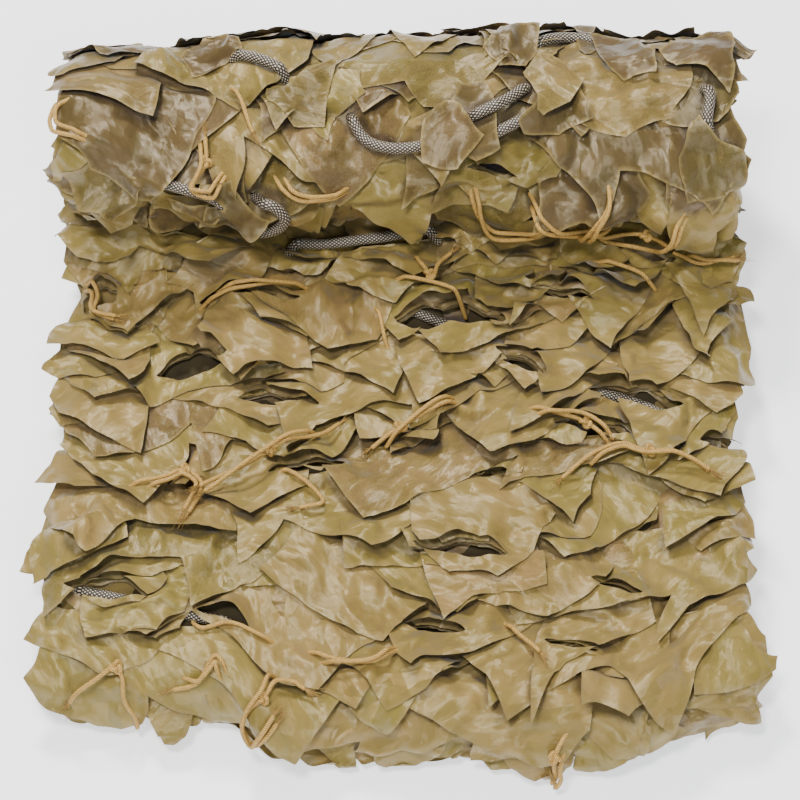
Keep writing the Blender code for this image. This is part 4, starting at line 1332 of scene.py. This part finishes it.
CLOTH_DARK, CLOTH_LIGHT = (0.104, 0.068, 0.024, 1), (0.260, 0.176, 0.050, 1)
# paler cut edges: the cut edge's own colour, with a painted highlight where the edges catch the light
CLOTH_RIM = (0.24, 0.17, 0.06, 1)
# the colour of painted shade
CLOTH_PAINTED_SHADE = (0.034, 0.028, 0.036, 1)
CLOTH_SHINE = 0.54
# painted sheen: paler greyish and more olive patches on the facets, standing in for the satin's sheen
PAINTED_SHEEN_TONES = ((0.83, 0.86, 0.76, 1), (1.08, 1.06, 1.14, 1))
HUES = ((1.03, 0.97, 1.06, 1), (0.92, 0.99, 0.80, 1))
LEAF_LEAN = 0.22
LEANS_BY = (("X", 7.0), ("Y", 13.0))  # spread the leaves' leans over both axes
LEAF_HUES = 19.0
LEAF_TURNS = 41.0  # spreads the leaves' creases over all directions
RIDGES = 24.0  # features to the metre
RIDGE_STRETCH = (1.0, 2.6, 1.8)
RIDGE_HEIGHT = 0.0060
BENT_SCALE, BENT_BY = 26, 0.02  # the creases' own bends
GRAIN = 1300.0
GRAIN_HEIGHT = 0.0005
# The facets of crushed cloth: scale, stretch, depth
CREASES = (
    (16.0, (1.0, 2.6, 1.8), 0.36),
    (36.0, (1.0, 2.8, 1.8), 0.33),
    (80.0, (1.0, 2.4, 1.6), 0.30),
    (170.0, (1.0, 2.0, 1.5), 0.14),
)
SHEEN_FACETS = 1  # the facets that the painted sheen patches in the colour follow


def cloth_material():
    """Thin satin-faced cloth, crushed into small facets."""
    look = Look("scrim_cloth", 0.39)
    place, tint = look.place(), look.attribute("tint")
    grain = look.noise(place, GRAIN, 1).outputs["Fac"]
    bends = look.noise(place, BENT_SCALE, 1).outputs["Color"]
    bent = look.vector("MULTIPLY_ADD", bends, (BENT_BY, BENT_BY, BENT_BY), place)
    turned = look.node("VectorRotate", {})
    turned.rotation_type = "Z_AXIS"
    look.fill(turned, {"Vector": bent, "Angle": look.math("MULTIPLY", tint, LEAF_TURNS)})
    turned = turned.outputs[0]
    facets = []
    for scale, stretch, _ in CREASES:
        spots = look.vector("MULTIPLY", turned, stretch)
        facets.append(look.node("TexVoronoi", {"Vector": spots, "Scale": scale}).outputs["Color"])
    # painted shade: where the cloth is darkened to stand in for shade
    painted_shade = look.attribute("painted_shade")
    look.fill(look.shader, {
        "Base Color": cloth_colour(look, place, tint, grain, painted_shade, facets[SHEEN_FACETS]),
        "Normal": cloth_normal(look, tint, grain, turned, facets),
        "IOR": 1.55,
        # no specular where shade is painted
        "Specular IOR Level": look.math("MULTIPLY_ADD", painted_shade, -CLOTH_SHINE, CLOTH_SHINE),
        "Specular Tint": (1.0, 0.86, 0.64, 1),
        "Sheen Weight": 0.12,
        "Sheen Roughness": 0.4,
    })
    return look.material


def cloth_colour(look, place, tint, grain, painted_shade, facet):
    """Each leaf's own tone and hue, with painted sheen patches on its facets, paler cut edges that are partly
    a painted highlight, and painted shade in hollows, openings and by the crevice.
    """
    cloud = look.math("MULTIPLY_ADD", look.noise(place, 20, 3).outputs["Fac"], 0.5, 0.25)
    shade = look.math("MULTIPLY_ADD", tint, 0.70, cloud)
    shade = look.math("MULTIPLY_ADD", grain, 0.7, shade)
    tone = look.ramp(shade, (0.55, CLOTH_DARK), (1.45 / 1.6, CLOTH_LIGHT))
    # painted sheen: each facet made paler or more olive, as the satin's sheen would make it
    split = look.node("SeparateColor", {"Color": facet})
    sheen_pattern = look.math("MULTIPLY_ADD", split.outputs["Red"], 0.6, look.noise(place, 30, 2).outputs["Fac"])
    painted_sheen = look.node("MapRange", {"Value": sheen_pattern, "From Min": 0.55, "From Max": 1.15})
    hue = look.math("FRACT", look.math("MULTIPLY", tint, LEAF_HUES))
    tone_with_sheen = look.vector("MULTIPLY", tone, look.mix(painted_sheen.outputs["Result"], *PAINTED_SHEEN_TONES))
    tone_with_sheen = look.vector("MULTIPLY", tone_with_sheen, look.mix(hue, *HUES))
    return look.mix(painted_shade, look.mix(look.attribute("rim"), tone_with_sheen, CLOTH_RIM), CLOTH_PAINTED_SHADE)


def cloth_normal(look, tint, grain, turned, facets):
    """Each leaf leans a little its own way, and its creases and ridges run its own way."""
    lean = {}
    for axis, share in LEANS_BY:
        part = look.math("FRACT", look.math("MULTIPLY", tint, share))
        lean[axis] = look.math("MULTIPLY_ADD", part, LEAF_LEAN, -LEAF_LEAN / 2)
    tilt = look.node("NewGeometry", {}).outputs["Normal"]
    tilt = look.vector("ADD", tilt, look.node("CombineXYZ", lean).outputs[0])
    for facet, (_, _, depth) in zip(facets, CREASES):
        spread = look.vector("SUBTRACT", facet, (0.5, 0.5, 0.5))
        tilt = look.vector("ADD", tilt, look.vector("MULTIPLY", spread, (depth, depth, 0.5 * depth)))
    ridges = look.noise(look.vector("MULTIPLY", turned, RIDGE_STRETCH), RIDGES, 3)
    ridges.noise_type = "RIDGED_MULTIFRACTAL"
    look.fill(ridges, {"Lacunarity": 2.3})
    folds = look.bump(ridges.outputs["Fac"], 0.6, RIDGE_HEIGHT, Normal=look.vector("NORMALIZE", tilt))
    return look.bump(grain, 0.35, GRAIN_HEIGHT, Normal=folds)


def twine_material():
    look = Look("twine_fibre", 0.7)
    around, run = look.wrapped(2 * math.pi * TWINE_STRANDS, 2 * math.pi * TWINE_STRANDS / TWINE_TWIST)
    strand = look.math("SINE", look.math("SUBTRACT", around, run))
    strand = look.math("MULTIPLY_ADD", strand, 0.5, 0.5)
    fibre = look.math("MULTIPLY", look.noise(look.place(), 420, 3).outputs["Fac"], 0.6)
    shade = look.math("MULTIPLY_ADD", strand, 0.5, fibre)
    colour = look.ramp(shade, (0.22, (0.13, 0.060, 0.010, 1)), (0.76, (0.60, 0.36, 0.085, 1)))
    look.fill(look.shader, {"Base Color": colour, "Normal": look.bump(shade, 0.5, 0.0005)})
    return look.material


def rope_material():
    look = Look("rope_braid", 0.38)
    around, run = look.wrapped(math.pi * BRAID_AROUND, math.pi / BRAID_LENGTH)
    one, other = (look.math("SINE", look.math(way, around, run)) for way in ("ADD", "SUBTRACT"))
    strand = look.math("ABSOLUTE", look.math("MULTIPLY", one, other))
    colour = look.ramp(strand, (0.56, (0.030, 0.019, 0.010, 1)), (0.84, (0.60, 0.52, 0.40, 1)))
    look.fill(look.shader, {"Base Color": colour, "Normal": look.bump(strand, 0.6, 0.0006)})
    return look.material


def core_material():
    look = Look("net_core", 0.8)
    blotch = look.noise(look.place(), 60, 2).outputs["Fac"]
    # near black and nearly without specular: painted shade inside the bundle, over the net's own dark colour
    colour = look.ramp(blotch, (0.0, (0.020, 0.015, 0.008, 1)), (1.0, (0.060, 0.045, 0.022, 1)))
    look.fill(look.shader, {"Base Color": colour, "Specular IOR Level": 0.1})
    return look.material


# ---------------------------------------------------------------- camera, floor and light

CAMERA_ELEVATION = math.radians(58)
CAMERA_DISTANCE = 2.0
CAMERA_TARGET = Vector((0, 0, 0.05))
CAMERA_LENS = 116.4
SENSOR_WIDTH = 36.0
FLOOR_HALF = 6.0
WORLD_STRENGTH = 0.25
# Name, place, size, power, tone
LIGHTS = (
    ("key", (-0.50, 1.30, 2.10), 0.5, 70, (1.0, 1.0, 1.0)),
    ("top", (-0.40, -0.60, 2.50), 0.5, 58, (1.0, 1.0, 1.0)),
    ("fill", (0.50, -1.70, 1.90), 1.0, 32, (0.86, 0.95, 1.0)),
)

camera = bpy.data.objects.new("camera", bpy.data.cameras.new("camera"))
bpy.context.scene.collection.objects.link(camera)
camera.data.lens = CAMERA_LENS
camera.data.sensor_width = SENSOR_WIDTH
back = Vector((0, -math.cos(CAMERA_ELEVATION), math.sin(CAMERA_ELEVATION)))
camera.location = CAMERA_TARGET + CAMERA_DISTANCE * back
camera.rotation_mode = "QUATERNION"
camera.rotation_quaternion = (-back).to_track_quat("-Z", "Y")
bpy.context.scene.camera = camera

corners = [(x * FLOOR_HALF, y * FLOOR_HALF, 0) for x, y in ((-1, -1), (1, -1), (1, 1), (-1, 1))]
floor_mesh = new_mesh("floor", corners, [(0, 1, 2, 3)])
floor = bpy.data.objects.new("floor", floor_mesh)
bpy.context.scene.collection.objects.link(floor)
floor_look = Look("floor", 0.9)
floor_look.fill(floor_look.shader, {
    "Base Color": (0.92, 0.92, 0.92, 1),
    "Emission Color": (1, 1, 1, 1),
    "Emission Strength": 1.0,
})
floor_mesh.materials.append(floor_look.material)


def area_light(name, place, size, power, tone):
    light = bpy.data.lights.new(name, "AREA")
    light.color = tone
    light.shape = "DISK"
    light.size = size
    light.energy = power
    lamp = bpy.data.objects.new(name, light)
    lamp.location = place
    lamp.rotation_mode = "QUATERNION"
    lamp.rotation_quaternion = (CAMERA_TARGET - Vector(place)).to_track_quat("-Z", "Y")
    bpy.context.scene.collection.objects.link(lamp)


for numbers in LIGHTS:
    area_light(*numbers)
world = bpy.data.worlds.new("studio")
world.use_nodes = True
world.node_tree.nodes["Background"].inputs["Color"].default_value = (1, 1, 1, 1)
world.node_tree.nodes["Background"].inputs["Strength"].default_value = WORLD_STRENGTH
bpy.context.scene.world = world

# ---------------------------------------------------------------- the charts and what grows on them

# Openings: x, along, width, height, turn, how far the rear lip lifts
LAY_OPENINGS = (
    (0.039, 0.071, 0.088, 0.034, 0.10, 0.013),
    (0.092, 0.112, 0.046, 0.014, 0.60, 0.009),
    (0.180, 0.138, 0.074, 0.020, 0.15, 0.010),
    (-0.162, 0.108, 0.056, 0.020, -0.20, 0.010),
    (-0.094, 0.139, 0.064, 0.011, 0.05, 0.009),
    (-0.118, 0.048, 0.080, 0.012, 0.00, 0.010),
    (-0.239, 0.043, 0.032, 0.024, 0.30, 0.008),
    (-0.071, 0.200, 0.060, 0.012, -0.15, 0.008),
    (0.045, 0.272, 0.072, 0.013, 0.12, 0.009),
    (0.156, 0.305, 0.038, 0.008, 0.30, 0.007),
    (0.145, 0.167, 0.060, 0.018, 0.20, 0.009),
    (-0.214, 0.327, 0.064, 0.017, 0.18, 0.009),
    (-0.127, 0.347, 0.040, 0.015, 0.10, 0.009),
    (0.025, 0.336, 0.046, 0.010, 0.20, 0.008),
    (0.241, 0.180, 0.034, 0.013, 0.20, 0.007),
    (0.123, 0.354, 0.040, 0.008, 0.20, 0.007),
    (0.188, 0.010, 0.060, 0.013, 0.10, 0.008),
    (0.123, 0.048, 0.054, 0.010, 0.20, 0.008),
)
ROLL_OPENINGS = (
    (-0.164, 0.275, 0.060, 0.016, 0.10, 0.008),
    (0.130, 0.303, 0.070, 0.014, -0.1, 0.008),
    (-0.235, 0.294, 0.036, 0.014, 0.20, 0.007),
    (0.070, 0.261, 0.040, 0.010, 0.20, 0.007),
)
FRONT_LEAVES_FROM = 0.034
# Leaves that hang down over the front edge: kind, x, width, length, angle, lift
FRONT_LEAVES = (
    ("kite", -0.110, 0.085, 0.100, 0.05, 0.009),
    ("hook", -0.060, 0.060, 0.085, -0.35, 0.007),
    ("vee", 0.010, 0.070, 0.080, 0.20, 0.005),
    ("kite", 0.085, 0.065, 0.082, -0.25, 0.008),
    ("hook", 0.150, 0.070, 0.078, 0.30, 0.006),
    ("vee", -0.190, 0.060, 0.070, 0.25, 0.006),
)
# Each strip's rows: length, distance between teeth, singles
FINE_ROW, FINE_REAR_ROW, WIDE_ROW = (0.080, 0.090, 2), (0.104, 0.090, 2), (0.104, 0.135, 2)
ROLL_ROW, ROLL_REAR_ROW = (0.070, 0.085, 2), (0.086, 0.080, 3)
# Further rows, the first number where each starts
EDGE_ROWS = ((0.064, 0.052, 0.072, 2), (0.050, 0.054, 0.072, 2))
FRONT_ROWS = ((0.024, 0.062, 0.085, 2), (0.0, 0.074, 0.105, 2))
CREVICE_ROWS = ((-0.010, 0.054, 0.080, 2), (-0.024, 0.050, 0.075, 2), (-0.040, 0.050, 0.065, 2))
ROLL_LOW_ROWS = ((0.288, 0.044, 0.052, 4), (0.272, 0.048, 0.052, 4), (0.256, 0.052, 0.052, 4))
REAR_ROWS = ((0.020, 0.062, 0.060, 2), (0.0, 0.070, 0.060, 2))
LAY_STRIPS, ROLL_STRIPS = 8, 6
FINE_STRIPS = 3  # the strips next to the crevice, cut more finely
LAY_STARTS, ROLL_STARTS = 0.020, 0.016  # how far a strip's leaves start behind its pitch line
ROLL_SMOOTH_TO = 0.145  # leaves that start before this lie close
ROLL_SMOOTH_LIFTS, ROLL_SMOOTH_SLACK = 0.25, 0.5
FRONT_LIFTS, REAR_LIFTS = 1.5, 0.3

# Each chart's shadow is painted shade: on the layers by the crevice, and on the roll's underside where it
# sits on them
lay = Chart(lay_line, length=0.480, droop=0.5, seed=11.0, lenses=LAY_OPENINGS, front=True, tints=(0.25, 1.1),
            pile=0.011, gathered=(0.0006, (0.0028, 0.14, -0.12), (0.0016, 0.37, 0.05)),
            shadow=(0.0, (0.25, 0.0, -0.014)))
roll = Chart(roll_line, length=0.345, droop=0.7, seed=17.0, lenses=ROLL_OPENINGS, tints=(-0.75, 0.30),
             gathered=(0.0010, (0.0018, 0.13, 0.06), (0.0010, 0.24, 0.06)), shadow=(0.0, (0.5, 0.316, 0.020)))
rear = Chart(rear_line, length=0.110, droop=0.9, seed=23.0)
CHARTS = {"lay": lay, "roll": roll}


def grow_rows(chart, group, start, rows, rng):
    leaves = []
    for base, *row in rows:
        leaves += grow_row(chart, group, start + base, *row, rng)
    return leaves


def grow_front(group, start, rng):
    """The leaves of the strip that goes over the front edge."""
    leaves = grow_rows(lay, group, start, EDGE_ROWS, rng)
    for kind, x, width, length, angle, lift in FRONT_LEAVES:
        corners, base = leaf_corners(kind, width, length, rng), (x, start + FRONT_LEAVES_FROM)
        leaves.append(Leaf(lay, group, start, corners, angle, base, [lift], rng))
    return leaves + grow_rows(lay, group, start, FRONT_ROWS, rng)


def cover_layers(rng):
    leaves = []
    for strip in reversed(range(LAY_STRIPS)):
        start, group = strip * STRIP_PITCHES["lay"] - LAY_STARTS, f"scrim_lay_{strip + 1}"
        if strip == LAY_STRIPS - 1:
            leaves += grow_front(group, start, rng)
        elif strip < FINE_STRIPS:
            leaves += grow_strip(lay, group, start, FINE_ROW, FINE_REAR_ROW, 2, rng)
        else:
            leaves += grow_strip(lay, group, start, None, WIDE_ROW, 4, rng)
    leaves += grow_rows(lay, "scrim_lay_1", 0.0, CREVICE_ROWS, rng)
    for leaf in leaves:
        if leaf.group == f"scrim_lay_{LAY_STRIPS}":
            leaf.lifts = FRONT_LIFTS * np.array(leaf.lifts)
    leaves = lay_leaves(lay, leaves)
    paint_shade_in_hollows(lay, leaves)
    return leaves


def cover_roll(rope_look, rng):
    """The leaves on the roll, with the ropes between them."""
    leaves = grow_rows(roll, f"scrim_roll_{ROLL_STRIPS}", 0.0, ROLL_LOW_ROWS, rng)
    for strip in reversed(range(ROLL_STRIPS)):
        start, group = strip * STRIP_PITCHES["roll"] - ROLL_STARTS, f"scrim_roll_{strip + 1}"
        leaves += grow_strip(roll, group, start, ROLL_ROW, ROLL_REAR_ROW, 3, rng)
    for leaf in leaves:
        if leaf.base[1] < ROLL_SMOOTH_TO:
            leaf.lifts = ROLL_SMOOTH_LIFTS * np.array(leaf.lifts)
            leaf.slack *= ROLL_SMOOTH_SLACK
    between = []
    for name, (cover, places) in ROPES.items():
        if cover == "roll":
            highest = min(distance_along(cover, place) for _, place in places)
            act = functools.partial(rope_under_leaves, name, roll, places, rope_look, rng)
            between.append((highest - COVERED_FROM, act))
    leaves = lay_leaves(roll, leaves, between)
    paint_shade_in_hollows(roll, leaves)
    return leaves


def cover_rear(rng):
    leaves = grow_rows(rear, "rear", 0.0, REAR_ROWS, rng)
    for leaf in leaves:
        leaf.lifts = REAR_LIFTS * np.array(leaf.lifts)
    return lay_leaves(rear, leaves)


# ---------------------------------------------------------------- the whole

cloth, rope_look, twine_look, core_look = cloth_material(), rope_material(), twine_material(), core_material()
rng = np.random.default_rng(5)

for name in BURIED_ROPES:
    make_rope(name, lay, ROPES[name][1], rope_look)
grown = cover_layers(rng) + cover_roll(rope_look, rng)
rear_leaves = cover_rear(rng)

make_rope("rope_crevice", lay, ROPES["rope_crevice"][1], rope_look)
for name, numbers in TIES.items():
    make_tie(name, *numbers, twine_look, rng)

for node in sorted({leaf.group for leaf in grown}):
    leaves = [leaf for leaf in grown if leaf.group == node]
    piece = join_leaves(node.replace("scrim", "leaves"), leaves, cloth)
    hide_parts(node)

join_leaves("leaves_rear", rear_leaves, cloth)

shell, ply_length = make_shell(core_look)
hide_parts("net_bundle")
for name, chart, first, last in (("under_lay", lay, -0.046, 0.440), ("under_roll", roll, -0.030, 0.350)):
    piece, flat = make_under(name, chart, first, last, cloth)
for side, word in ((-1, "left"), (1, "right")):
    for number, level in enumerate(RUFFLE_LEVELS):
        piece, area = make_ruffle(f"ruffle_{word}_{number + 1}", side, level, cloth, rng)
